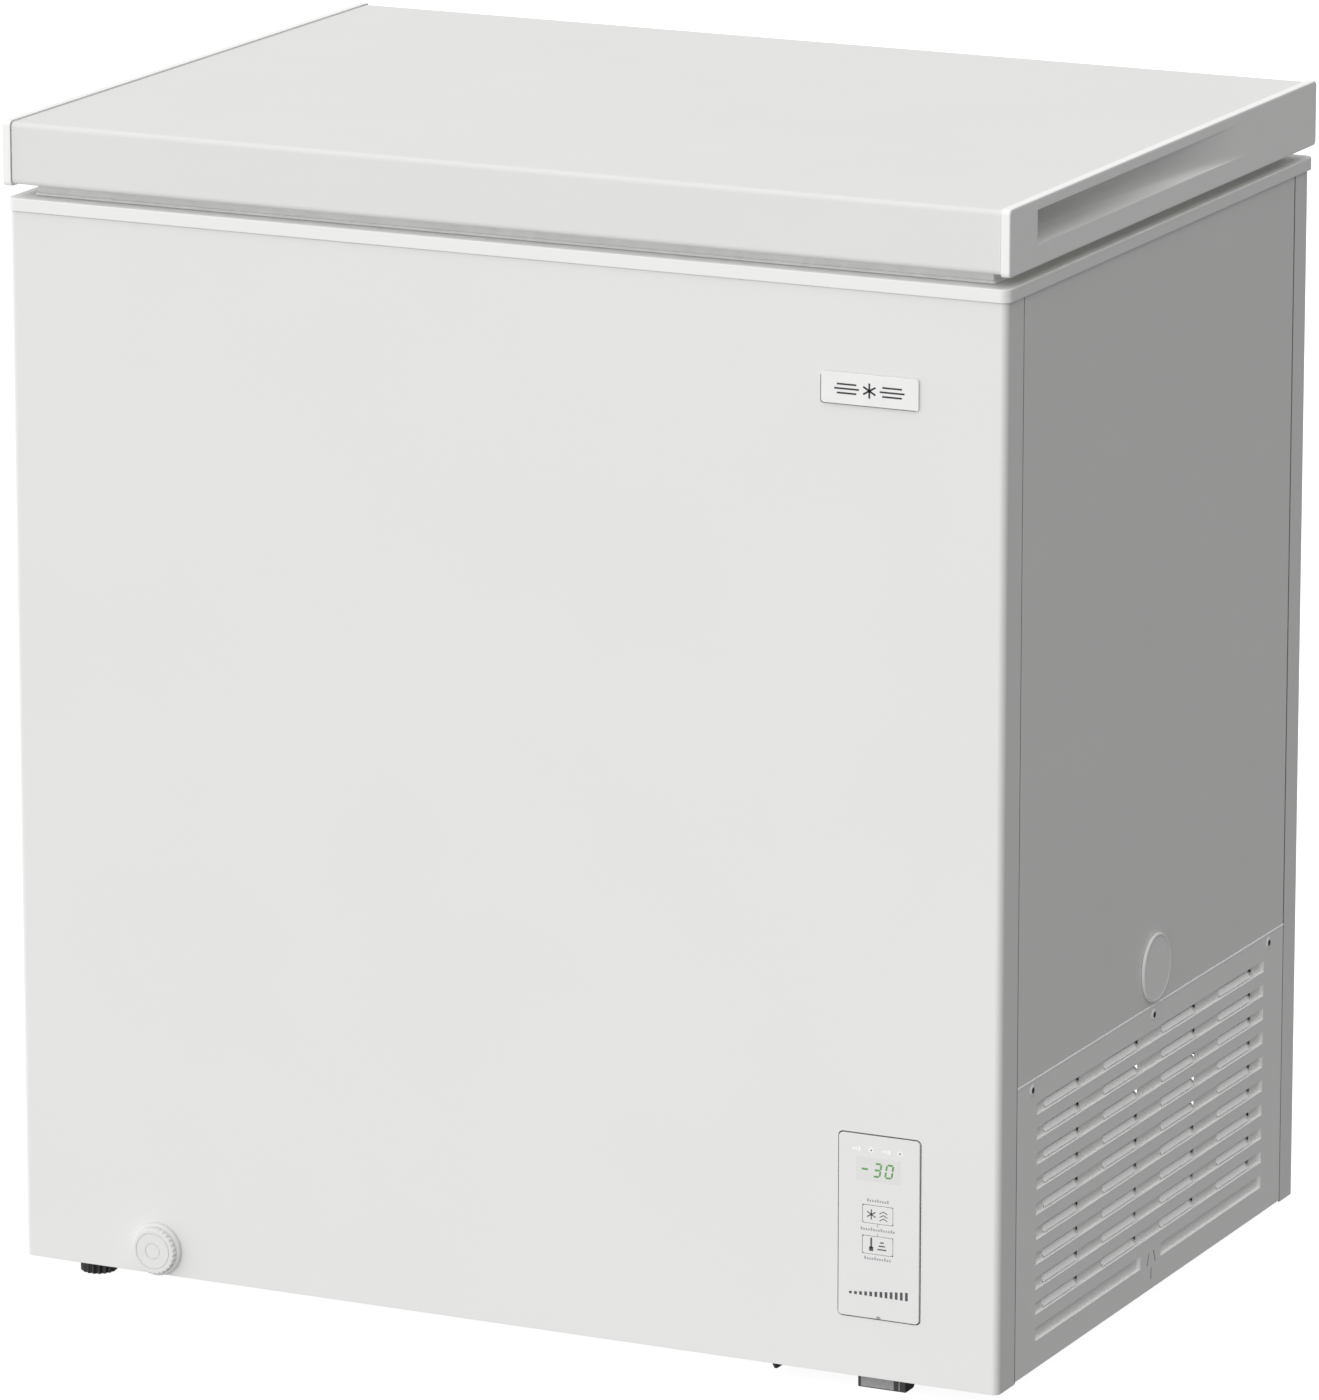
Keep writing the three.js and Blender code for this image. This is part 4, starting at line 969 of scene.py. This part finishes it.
class FREEZER_OT_controls(bpy.types.Operator):
    """Control panel: bezel, display, two keys and their printed marks"""

    bl_idname = "freezer.controls"
    bl_label = "Controls"

    def execute(self, context):
        plastic = moulded_plastic("moulded panel ABS", hex_linear("E7E7E6"), (0.5, 0.58), 0.6 * MM)
        dress(softened("control_bezel", 0.3 * MM), plastic, "control_bezel")
        grey = print_ink("grey ink", "A3A5A5")
        dark = print_ink("dark ink", "4A4C4E")
        white = print_ink("white ink", "FFFFFF")
        low, high = span("control_bezel")
        front = low[1]
        lift = front - 0.02 * MM
        window_low, window_high = span("display_window")
        rim = np.array([0.5, 0, 0.5]) * MM
        lens_low, lens_high = window_low - rim, window_high + rim
        lens_low[1], lens_high[1] = front - 0.08 * MM, front + 0.5 * MM
        window = slab("y", lens_low, lens_high, 0.8 * MM, 0.04 * MM, 4)
        dress(bodies_object("display_lens", [window]), display_lens(), "display_window")

        middle_x, middle_z = middle(window_low, window_high, "xz")
        size = dict(width=5.0 * MM, height=9.6 * MM, line=1.35 * MM, slant=0.16)
        marks = digit_marks("abgcd", middle_x - 0.6 * MM, middle_z, **size)
        marks += digit_marks("abcdef", middle_x + 8.8 * MM, middle_z, **size)
        marks.append(bar_mark(middle_x - 10.4 * MM, middle_z, 4.8 * MM, 1.35 * MM))
        green = print_ink("lit green segment", "5F9B55", 0.05)
        figures = prints("display_figures", marks, window[..., 1].min() - 0.01 * MM)
        trim_on(figures, green, "display_window", "display_module")

        for node in ("boost_key", "temperature_key"):
            key_low, key_high = span(node)
            cap = slab("y", key_low, key_high, 1.3 * MM, 0.3 * MM, 6)
            dress(bodies_object(node + "_cap", [cap]), plastic, node)
            x, z = middle(key_low, key_high, "xz")
            levels = [(k, z + k * 2.6 * MM) for k in (-1, 0, 1)]
            if node == "boost_key":
                marks = arm_marks(x - 5 * MM, z, 3.8 * MM, 0.8 * MM)
                marks += [arrow_mark(x + 4.5 * MM, at, 3.4 * MM, 0.9 * MM) for _, at in levels]
            else:
                # Thermometer, as rows of width, place and height in mm: its bulb and its stem.
                stem = [(3.2, -2.7, 3.2), (1.3, 1.6, 8)]
                marks = [bar_mark(x - 5 * MM, z + at * MM, w * MM, h * MM) for w, at, h in stem]
                marks += [bar_mark(x + 3.4 * MM, at, (5 - 2 * k) * MM, 0.9 * MM) for k, at in levels]
            trim_on(prints(node + "_marks", marks, key_low[1] - 0.02 * MM), dark, node)

        boost_low, boost_high = span("boost_key")
        temp_low, temp_high = span("temperature_key")
        x = (boost_low[0] + boost_high[0]) / 2
        between = (boost_low[2] + temp_high[2]) / 2
        hints = []
        for z, count in ((boost_high[2] + 3.6 * MM, 9), (between, 14), (temp_low[2] - 3.6 * MM, 11)):
            steps = np.arange(count)
            tall = (1.5 + 0.8 * ((steps * 3) % 4 == 0)) * MM
            hints += [
                bar_mark(x + (k - (count - 1) / 2) * 1.95 * MM, z + (h - 1.5 * MM) / 2, 1.15 * MM, h)
                for k, h in zip(steps, tall)
            ]
        hints += [bar_mark(x, between + side * 3.4 * MM, 0.5 * MM, 2.2 * MM) for side in (-1, 1)]
        trim_on(prints("hint_marks", hints, lift), grey, "control_bezel")

        # Four indicator pictograms: two scales of three bars and two snowflakes.
        icons = []
        top = window_high[2] + 6.2 * MM
        for k, at in enumerate((-17, -5.5, 6.5, 17)):
            place = middle_x + at * MM
            if k % 2:
                icons += arm_marks(place, top, 2.6 * MM, 0.8 * MM)
            else:
                icons += [
                    bar_mark(place + j * 2.4 * MM, top, 1.6 * MM, (2.4 + j * 0.9) * MM)
                    for j in (-1, 0, 1)
                ]
        trim_on(prints("indicator_marks", icons, lift), white, "control_bezel")

        # Cold scale at the foot of the panel: upright bars that grow in height.
        scale_x, scale_z = (low[0] + high[0]) / 2, low[2] + 16.6 * MM
        bars = []
        for k in range(12):
            height = (1.8 + 0.4 * k) * MM
            bars.append(bar_mark(scale_x + (k - 5.5) * 4 * MM, scale_z + height / 2, 2.1 * MM, height))
        trim_on(prints("cold_scale", bars, lift), dark, "control_bezel")

        # Painted shade: a pry notch in the lower edge, drawn as a flat grey half round.
        angle = np.linspace(0, np.pi, 13)
        reach = 1.9 * MM
        notch = np.stack([scale_x + reach * np.cos(angle), low[2] + 0.3 * MM + reach * np.sin(angle)], -1)
        trim_on(prints("pry_notch", [notch], lift), grey, "control_bezel")
        return {"FINISHED"}


class FREEZER_OT_badge(bpy.types.Operator):
    """Lacquered badge plate with a plain snowflake between bars"""

    bl_idname = "freezer.badge"
    bl_label = "Badge plate"

    def execute(self, context):
        low, high = span("badge_plate")
        plate = slab("y", low, high, 2 * MM, 0.25 * MM, 6)
        dress(bodies_object("badge", [plate]), lacquered_badge(), "badge_plate")
        x, z = middle(low, high, "xz")
        marks = arm_marks(x, z, 5.4 * MM, 1.3 * MM)
        for side in (-1, 1):
            for k in (-1, 0, 1):
                width = (19 - 4 * abs(k)) * MM
                marks.append(bar_mark(x + side * 17.5 * MM, z + k * 3.2 * MM, width, 1.2 * MM))
        black = print_ink("black ink", "26282A")
        trim_on(prints("badge_mark", marks, low[1] - 0.02 * MM, 0.12 * MM), black, "badge_plate")
        # Painted shade: a dark line along the plate's left and lower edges, where they turn into the sheet.
        corners = [(low[0], high[2] - 2.4 * MM), (low[0], low[2]), (high[0] - 1.5 * MM, low[2])]
        edge = filleted(corners, 2.6 * MM)
        inner = edge + np.sign(np.array([x, z]) - edge) * 0.55 * MM
        shade = prints("badge_edge_shade", strip_outlines(edge, inner), low[1] - 0.02 * MM)
        trim_on(shade, print_ink("shaded edge", "6E7072"), "badge_plate")
        return {"FINISHED"}


class FREEZER_OT_drain(bpy.types.Operator):
    """Drain: bezel, turning cap, pull-out tube and the plug in the tub"""

    bl_idname = "freezer.drain"
    bl_label = "Drain"

    def execute(self, context):
        plastic = moulded_plastic("moulded drain ABS", hex_linear("E6E6E5"), (0.55, 0.65))
        ribs = context.scene.freezer_sizes.drain_ribs
        low, high = span("drain_bezel")
        centre = middle(low, high, "zx")
        radius = (high[0] - low[0]) / 2
        bore = 8 * MM
        rows = [(bore, low[1]), (bore, high[1]), (radius - 0.2 * MM, high[1]), (radius, high[1] - 0.4 * MM),
                (radius - 0.1 * MM, low[1] + 1.2 * MM), (radius - 0.5 * MM, low[1] + 0.4 * MM),
                (radius - 1.2 * MM, low[1]), (bore + 0.4 * MM, low[1])]
        ring = turned("y", centre, rows[::-1][1:] + rows[::-1][:1], 14)
        dress(bodies_object("drain_collar", [ring], closed_rows=True), plastic, "drain_bezel")

        low, high = span("drain_cap")
        front = low[1]
        face = np.array([
            (4.6, 0.0), (5.4, 0.0), (5.7, 0.7), (6.2, 0.7), (6.5, 0.0), (13.0, 0.0), (13.4, 0.8),
            (14.0, 0.8), (14.3, 0.0), (16.9, 0.0), (17.5, 0.25), (17.9, 0.8), (18.0, 1.6), (18.0, 4.0),
            (5.2, 4.0), (5.2, 12.0),
        ]) * MM
        # Body of the cap in one grid: flat face with two ring grooves, ribbed rim, then the spigot.
        steps = 42
        face[:, 1] += front
        parts = [
            turned("y", centre, face[:9], steps),
            turned("y", centre, face[9:14], steps, (0.9 * MM, ribs)),
            turned("y", centre, face[14:], steps),
        ]
        dress(bodies_object("drain_turn_cap", [np.concatenate(parts)]), plastic, "drain_cap")
        low, high = span("drain_tube")
        outer, bore = 7.2 * MM, 5.5 * MM
        rows = [(outer - 0.4 * MM, low[1]), (outer, low[1] + 0.4 * MM), (outer, high[1] - 0.4 * MM),
                (outer - 0.4 * MM, high[1]), (bore + 0.3 * MM, high[1]), (bore, high[1] - 0.3 * MM),
                (bore, low[1] + 0.3 * MM), (bore + 0.3 * MM, low[1])]
        tube = bodies_object("drain_pull_tube", [turned("y", centre, rows, 10)], closed_rows=True)
        dress(tube, plastic, "drain_tube")
        low, high = span("drain_plug")
        centre = middle(low, high, "xy")
        rows = np.array([
            (6.6, 0), (7, 0.6), (7, 11.8), (13.4, 12.0), (14, 12.8), (13.6, 14.4), (12.4, 15.0),
            (5.0, 15.2), (3.8, 16.2), (3.6, 21.0), (4.2, 22.6), (3.9, 23.7), (2.6, 24.0),
        ]) * MM
        rows[:, 1] += low[2]
        dress(bodies_object("tub_plug", [turned("z", centre, rows, 8)]), plastic, "drain_plug")
        return {"FINISHED"}


class FREEZER_OT_feet(bpy.types.Operator):
    """Feet: ribbed levelling feet at the left and block feet at the right"""

    bl_idname = "freezer.feet"
    bl_label = "Feet"

    def execute(self, context):
        black = black_nylon()
        for node in ("levelling_foot_front", "levelling_foot_rear"):
            low, high = span(node)
            centre = middle(low, high, "xy")
            pad = [(12.6, 0.0), (13.4, 0.5), (13.9, 1.4), (13.9, 10.4), (13.2, 11.6), (12.0, 12.0)]
            stud = [(4.0, 12.0), (4.0, 22.4), (3.4, 23.0)]
            parts = [
                turned("z", centre, np.array(profile) * MM + (0, low[2]), 36, ripple)
                for profile, ripple in ((pad, (1.7 * MM, 18)), (stud, (0, 0)))
            ]
            dress(bodies_object(node + "_skin", [np.concatenate(parts)]), black, node)
        for node in ("block_foot_front", "block_foot_rear"):
            dress(softened(node, 0.8 * MM, segments=3), black, node)
            low, high = span(node)
            out = -1 if "front" in node else 1
            face = low[1] if out < 0 else high[1]
            # Painted light: a grey plate on the black foot's face stands for the face catching light, and a
            # thin grey line for a highlight on an edge.
            for name, x0, x1 in (("plate", 2.6, 28.5), ("highlight_line", 32.4, 33.2)):
                corner = np.array([low[0] + x0 * MM, face - 0.25 * MM, low[2] + 1.0 * MM])
                far = np.array([low[0] + x1 * MM, face + 0.25 * MM, low[2] + 13.4 * MM])
                pad = slab("y", corner, far, 0.3 * MM, 0.1 * MM, 3)
                trim_on(bodies_object(f"{node}_{name}", [pad]), lit_face_paint(), node)
        dress(softened("compressor_tray", 0.4 * MM), black_enamel(), "compressor_tray")
        return {"FINISHED"}


class FREEZER_OT_hinges(bpy.types.Operator):
    """Hinges: bases, leaves, pins and torsion springs"""

    bl_idname = "freezer.hinges"
    bl_label = "Hinges"

    def execute(self, context):
        zinc, wire = zinc_plate(), spring_wire()
        for side in ("left", "right"):
            dress(softened(f"hinge_base_{side}", 0.5 * MM, segments=3), zinc, f"hinge_base_{side}")
            dress(softened(f"hinge_leaf_{side}", 0.5 * MM, segments=3), zinc, f"hinge_leaf_{side}")
            low, high = span(f"hinge_pin_{side}")
            centre = middle(low, high, "yz")
            a, b = low[0], high[0]
            rows = [
                (3.4 * MM, a), (4 * MM, a + 0.6 * MM), (4 * MM, b - 2.7 * MM), (6.2 * MM, b - 2.7 * MM),
                (6.5 * MM, b - 2.3 * MM), (6.3 * MM, b - 1.0 * MM), (5.2 * MM, b - 0.3 * MM), (3.0 * MM, b),
            ]
            pin = bodies_object(f"hinge_pin_{side}_turned", [turned("x", centre, rows, 8)])
            dress(pin, zinc, f"hinge_pin_{side}")
            low, high = span(f"hinge_spring_{side}")
            coil, turns, radius = 5.9 * MM, 7, 0.9 * MM
            angle = np.linspace(math.pi, math.pi - 2 * math.pi * turns, turns * 20 + 1)
            start, end = low[0] + radius, high[0] - radius
            helix = np.stack([np.linspace(start, end, len(angle)), centre[0] + coil * np.cos(angle),
                              centre[1] + coil * np.sin(angle)], -1)
            leg_low = np.array([
                [start, low[1] + radius, low[2] + radius],
                [start, centre[0] - coil - 1.0 * MM, centre[1] - 18 * MM],
            ])
            leg_high = np.array([
                [end, centre[0] - coil - 0.6 * MM, centre[1] + 14 * MM],
                [end, low[1] + 4.6 * MM, high[2] - radius],
            ])
            path = np.concatenate([leg_low, helix, leg_high])
            # The side direction is a touch off the x axis, so that it never runs along the wire.
            wound = swept(path, radius, (1, 0.001, 0.002), 8)
            made = bodies_object(f"hinge_spring_{side}_coil", [wound], sharp_degrees=80)
            made.data.materials.append(wire)
            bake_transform(made)
            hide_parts(f"hinge_spring_{side}")
        return {"FINISHED"}


class FREEZER_OT_basket(bpy.types.Operator):
    """Wire basket that hangs on the tub's rim"""

    bl_idname = "freezer.basket"
    bl_label = "Basket"

    def execute(self, context):
        sizes = context.scene.freezer_sizes
        low, high = span("basket")
        r = sizes.wire / 2
        reach = 18 * MM
        y0, y1 = low[1] + reach + r, high[1] - reach - r
        x0, x1 = low[0] + r, high[0] - r
        floor, lip = low[2] + r, high[2] - r
        rim = lip - 2.2 * r
        bend = 14 * MM
        grids = []
        for x in np.linspace(x0 + 2.2 * r, x1 - 2.2 * r, max(int((x1 - x0) / sizes.wire_pitch), 2)):
            path = [(x, y0, rim), (x, y0, floor + 2 * r), (x, y1, floor + 2 * r), (x, y1, rim)]
            grids.append(swept(filleted(path, bend), r, (1, 0, 0), 8))
        for y in np.linspace(y0 + 2.2 * r, y1 - 2.2 * r, max(int((y1 - y0) / sizes.wire_pitch), 2)):
            path = [(x0, y, rim), (x0, y, floor), (x1, y, floor), (x1, y, rim)]
            grids.append(swept(filleted(path, bend), r, (0, 1, 0), 8))
        hooks = []
        for x in (x0 + 12 * MM, x1 - 12 * MM):
            for y, end in ((y0, low[1] + r), (y1, high[1] - r)):
                path = [(x, y, rim - 30 * MM), (x, y, lip), (x, end, lip)]
                hooks.append(swept(filleted(path, 4 * MM), r, (1, 0, 0), 8))
        made = bodies_object("basket_wires", grids + hooks, sharp_degrees=80)
        dress(made, dipped_wire(), "basket")
        hoops = []
        for z, grow in ((rim, 0.0), (rim - 62 * MM, -0.4 * MM), (floor + 60 * MM, -0.4 * MM)):
            ring = rounded_rings("z", ((x0 + x1) / 2, (y0 + y1) / 2),
                                 [(x1 - x0 + 2 * grow, y1 - y0 + 2 * grow, bend, z)], 6)[0]
            hoops.append(swept(ring, r * (1.25 if grow == 0 else 1), (0, 0, 1), 8, closed=True))
        hoop = bodies_object("basket_hoops", hoops, closed_rows=True, sharp_degrees=80)
        trim_on(hoop, dipped_wire(), "basket")
        for end, y in (("front", low[1] + r), ("rear", high[1] - r)):
            path = np.linspace((x0 + 2 * MM, y, lip), (x1 - 2 * MM, y, lip), 12)
            rail = bodies_object(f"basket_rail_{end}", [swept(path, r, (0, 0, 1), 8)])
            trim_on(rail, dipped_wire(), "basket")
        return {"FINISHED"}


class FREEZER_OT_machinery(bpy.types.Operator):
    """Compressor and the small parts in its bay"""

    bl_idname = "freezer.machinery"
    bl_label = "Machinery"

    def execute(self, context):
        low, high = span("compressor_shell")
        centre = middle(low, high, "xy")
        r, z, tall = (high[0] - low[0]) / 2, low[2], high[2] - low[2]
        lower = np.linspace(0, np.pi / 2, 8)
        bowl = np.stack([r * 0.97 * (0.45 + 0.55 * np.sin(lower)), z + 0.3 * tall * (1 - np.cos(lower))], -1)
        seam = np.array([
            (r * 0.97, z + 0.44 * tall), (r, z + 0.45 * tall),
            (r, z + 0.5 * tall), (r * 0.97, z + 0.51 * tall),
        ])
        upper = np.linspace(0, np.pi / 2, 10)[1:]
        dome = np.stack([r * 0.96 * np.cos(upper * 0.97), z + 0.72 * tall + 0.28 * tall * np.sin(upper)], -1)
        profile = np.concatenate([bowl, seam, [(r * 0.96, z + 0.7 * tall)], dome])
        can = bodies_object("compressor_can", [turned("z", centre, profile, 14)])
        dress(can, black_enamel(), "compressor_shell")
        for node, width in (
            ("compressor_bracket", 0.6), ("compressor_relay_box", 1.2), ("cord_inlet", 0.5),
            ("bay_wall", 0.3), ("base_pan", 0.3), ("control_cover", 0.8), ("drain_elbow", 0.4),
        ):
            dress(softened(node, width * MM), slot_material(SLOT_OF[node]), node)
        return {"FINISHED"}


class FREEZER_OT_inner(bpy.types.Operator):
    """Materials of the inner parts that keep their frame shape"""

    bl_idname = "freezer.inner"
    bl_label = "Inner parts"

    def execute(self, context):
        for node, part in frame["nodes"].items():
            if not part.hide_render:
                part.data.materials.clear()
                part.data.materials.append(slot_material(SLOT_OF[node]))
        return {"FINISHED"}


# Camera: where it stands in metres, how far it turns from the front and looks down in degrees, and
# its focal length for a frame 36 mm high.
CAMERA_PLACE = (3.0239, -6.3118, 2.1348)
CAMERA_AZIMUTH, CAMERA_ELEVATION = 25.674, 13.78
CAMERA_FOCAL, CAMERA_FRAME = 248.0, 36
FLOOR_HALF = 60.0


class FREEZER_OT_stage(bpy.types.Operator):
    """Floor, lights and camera"""

    bl_idname = "freezer.stage"
    bl_label = "Stage"

    def execute(self, context):
        scene = context.scene
        half = FLOOR_HALF
        grid = np.array([(-half, -half, 0), (half, -half, 0), (half, half, 0), (-half, half, 0)])
        floor = mesh_object("floor", grid, [[0, 1, 2, 3]])
        colour = tuple(scene.freezer_colours.floor)
        shader = {"Roughness": 0.9, "Emission Color": colour + (1,), "Emission Strength": 0.97}
        shade = tinted(tuple(c * 0.3 for c in colour), 0.5, 0.01)
        floor.data.materials.append(new_material("pale paper floor", shader, colour=shade))
        floor.visible_diffuse = False
        floor.visible_glossy = False

        # Soft box all round: its brightness rises evenly from behind, below and to the right, to in
        # front, above and to the left.
        world = bpy.data.worlds.new("studio")
        world.use_nodes = True
        tree = world.node_tree
        way = add_node(tree, "ShaderNodeTexCoord").outputs["Generated"]
        toward = {0: way, 1: (-0.53, -0.3, 0.36)}
        share = add_node(tree, "ShaderNodeVectorMath", {"operation": "DOT_PRODUCT"}, toward).outputs["Value"]
        strength = add_node(tree, "ShaderNodeMath", {"operation": "ADD"}, {0: share, 1: 0.72})
        lit = add_node(tree, "ShaderNodeMath", {"operation": "MAXIMUM"}, {0: strength.outputs[0], 1: 0.02})
        tree.links.new(lit.outputs[0], tree.nodes["Background"].inputs["Strength"])
        tree.nodes["Background"].inputs["Color"].default_value = (1, 1, 1, 1)
        scene.world = world
        # Each soft lamp: where it shines from, its strength and the angle in degrees that it fills.
        lamps = {
            "front_key": ((-0.2, -0.88, 0.43), 0.12, 20),
            "high_right": ((0.5, -0.3, 0.8), 0.12, 22),
        }
        for name, (direction, strength, spread_angle) in lamps.items():
            light = bpy.data.lights.new(name, "SUN")
            light.energy = strength
            light.angle = math.radians(spread_angle)
            lamp = bpy.data.objects.new(name, light)
            lamp.rotation_euler = Vector(direction).to_track_quat("Z", "Y").to_euler()
            scene.collection.objects.link(lamp)

        camera = bpy.data.cameras.new("camera")
        camera.sensor_fit = "VERTICAL"
        camera.sensor_height = CAMERA_FRAME
        camera.lens = CAMERA_FOCAL
        camera.clip_end = 100
        view = bpy.data.objects.new("camera", camera)
        view.location = CAMERA_PLACE
        azimuth, elevation = math.radians(CAMERA_AZIMUTH), math.radians(CAMERA_ELEVATION)
        view.rotation_euler = (math.pi / 2 - elevation, 0, azimuth)
        scene.collection.objects.link(view)
        scene.camera = view
        scene.view_settings.view_transform = "Standard"
        return {"FINISHED"}


class FREEZER_PT_panel(bpy.types.Panel):
    """Sidebar panel that lists the sizes, the colours and the pieces"""

    bl_label = "Chest Freezer"
    bl_idname = "FREEZER_PT_panel"
    bl_space_type = "VIEW_3D"
    bl_region_type = "UI"
    bl_category = "Freezer"

    def draw(self, context):
        layout = self.layout
        for group in (context.scene.freezer_sizes, context.scene.freezer_colours):
            column = layout.column(align=True)
            for key in group.__annotations__:
                column.prop(group, key)
        column = layout.column(align=True)
        for operator in OPERATORS:
            column.operator(operator.bl_idname)


OPERATORS = (
    FREEZER_OT_cabinet, FREEZER_OT_trim, FREEZER_OT_lid, FREEZER_OT_tub, FREEZER_OT_grille,
    FREEZER_OT_controls, FREEZER_OT_badge, FREEZER_OT_drain, FREEZER_OT_feet, FREEZER_OT_hinges,
    FREEZER_OT_basket, FREEZER_OT_machinery, FREEZER_OT_inner, FREEZER_OT_stage,
)
CLASSES = (FreezerSizes, FreezerColours, *OPERATORS, FREEZER_PT_panel)


def register():
    """Registers the classes and hangs the settings on the scene."""
    for cls in CLASSES:
        bpy.utils.register_class(cls)
    bpy.types.Scene.freezer_sizes = PointerProperty(type=FreezerSizes)
    bpy.types.Scene.freezer_colours = PointerProperty(type=FreezerColours)


def unregister():
    """Takes the settings off the scene and unregisters the classes."""
    del bpy.types.Scene.freezer_sizes
    del bpy.types.Scene.freezer_colours
    for cls in reversed(CLASSES):
        bpy.utils.unregister_class(cls)


def main():
    """Builds every piece in order."""
    register()
    for operator in OPERATORS:
        group, name = operator.bl_idname.split(".")
        getattr(getattr(bpy.ops, group), name)()


if __name__ == "__main__":
    main()
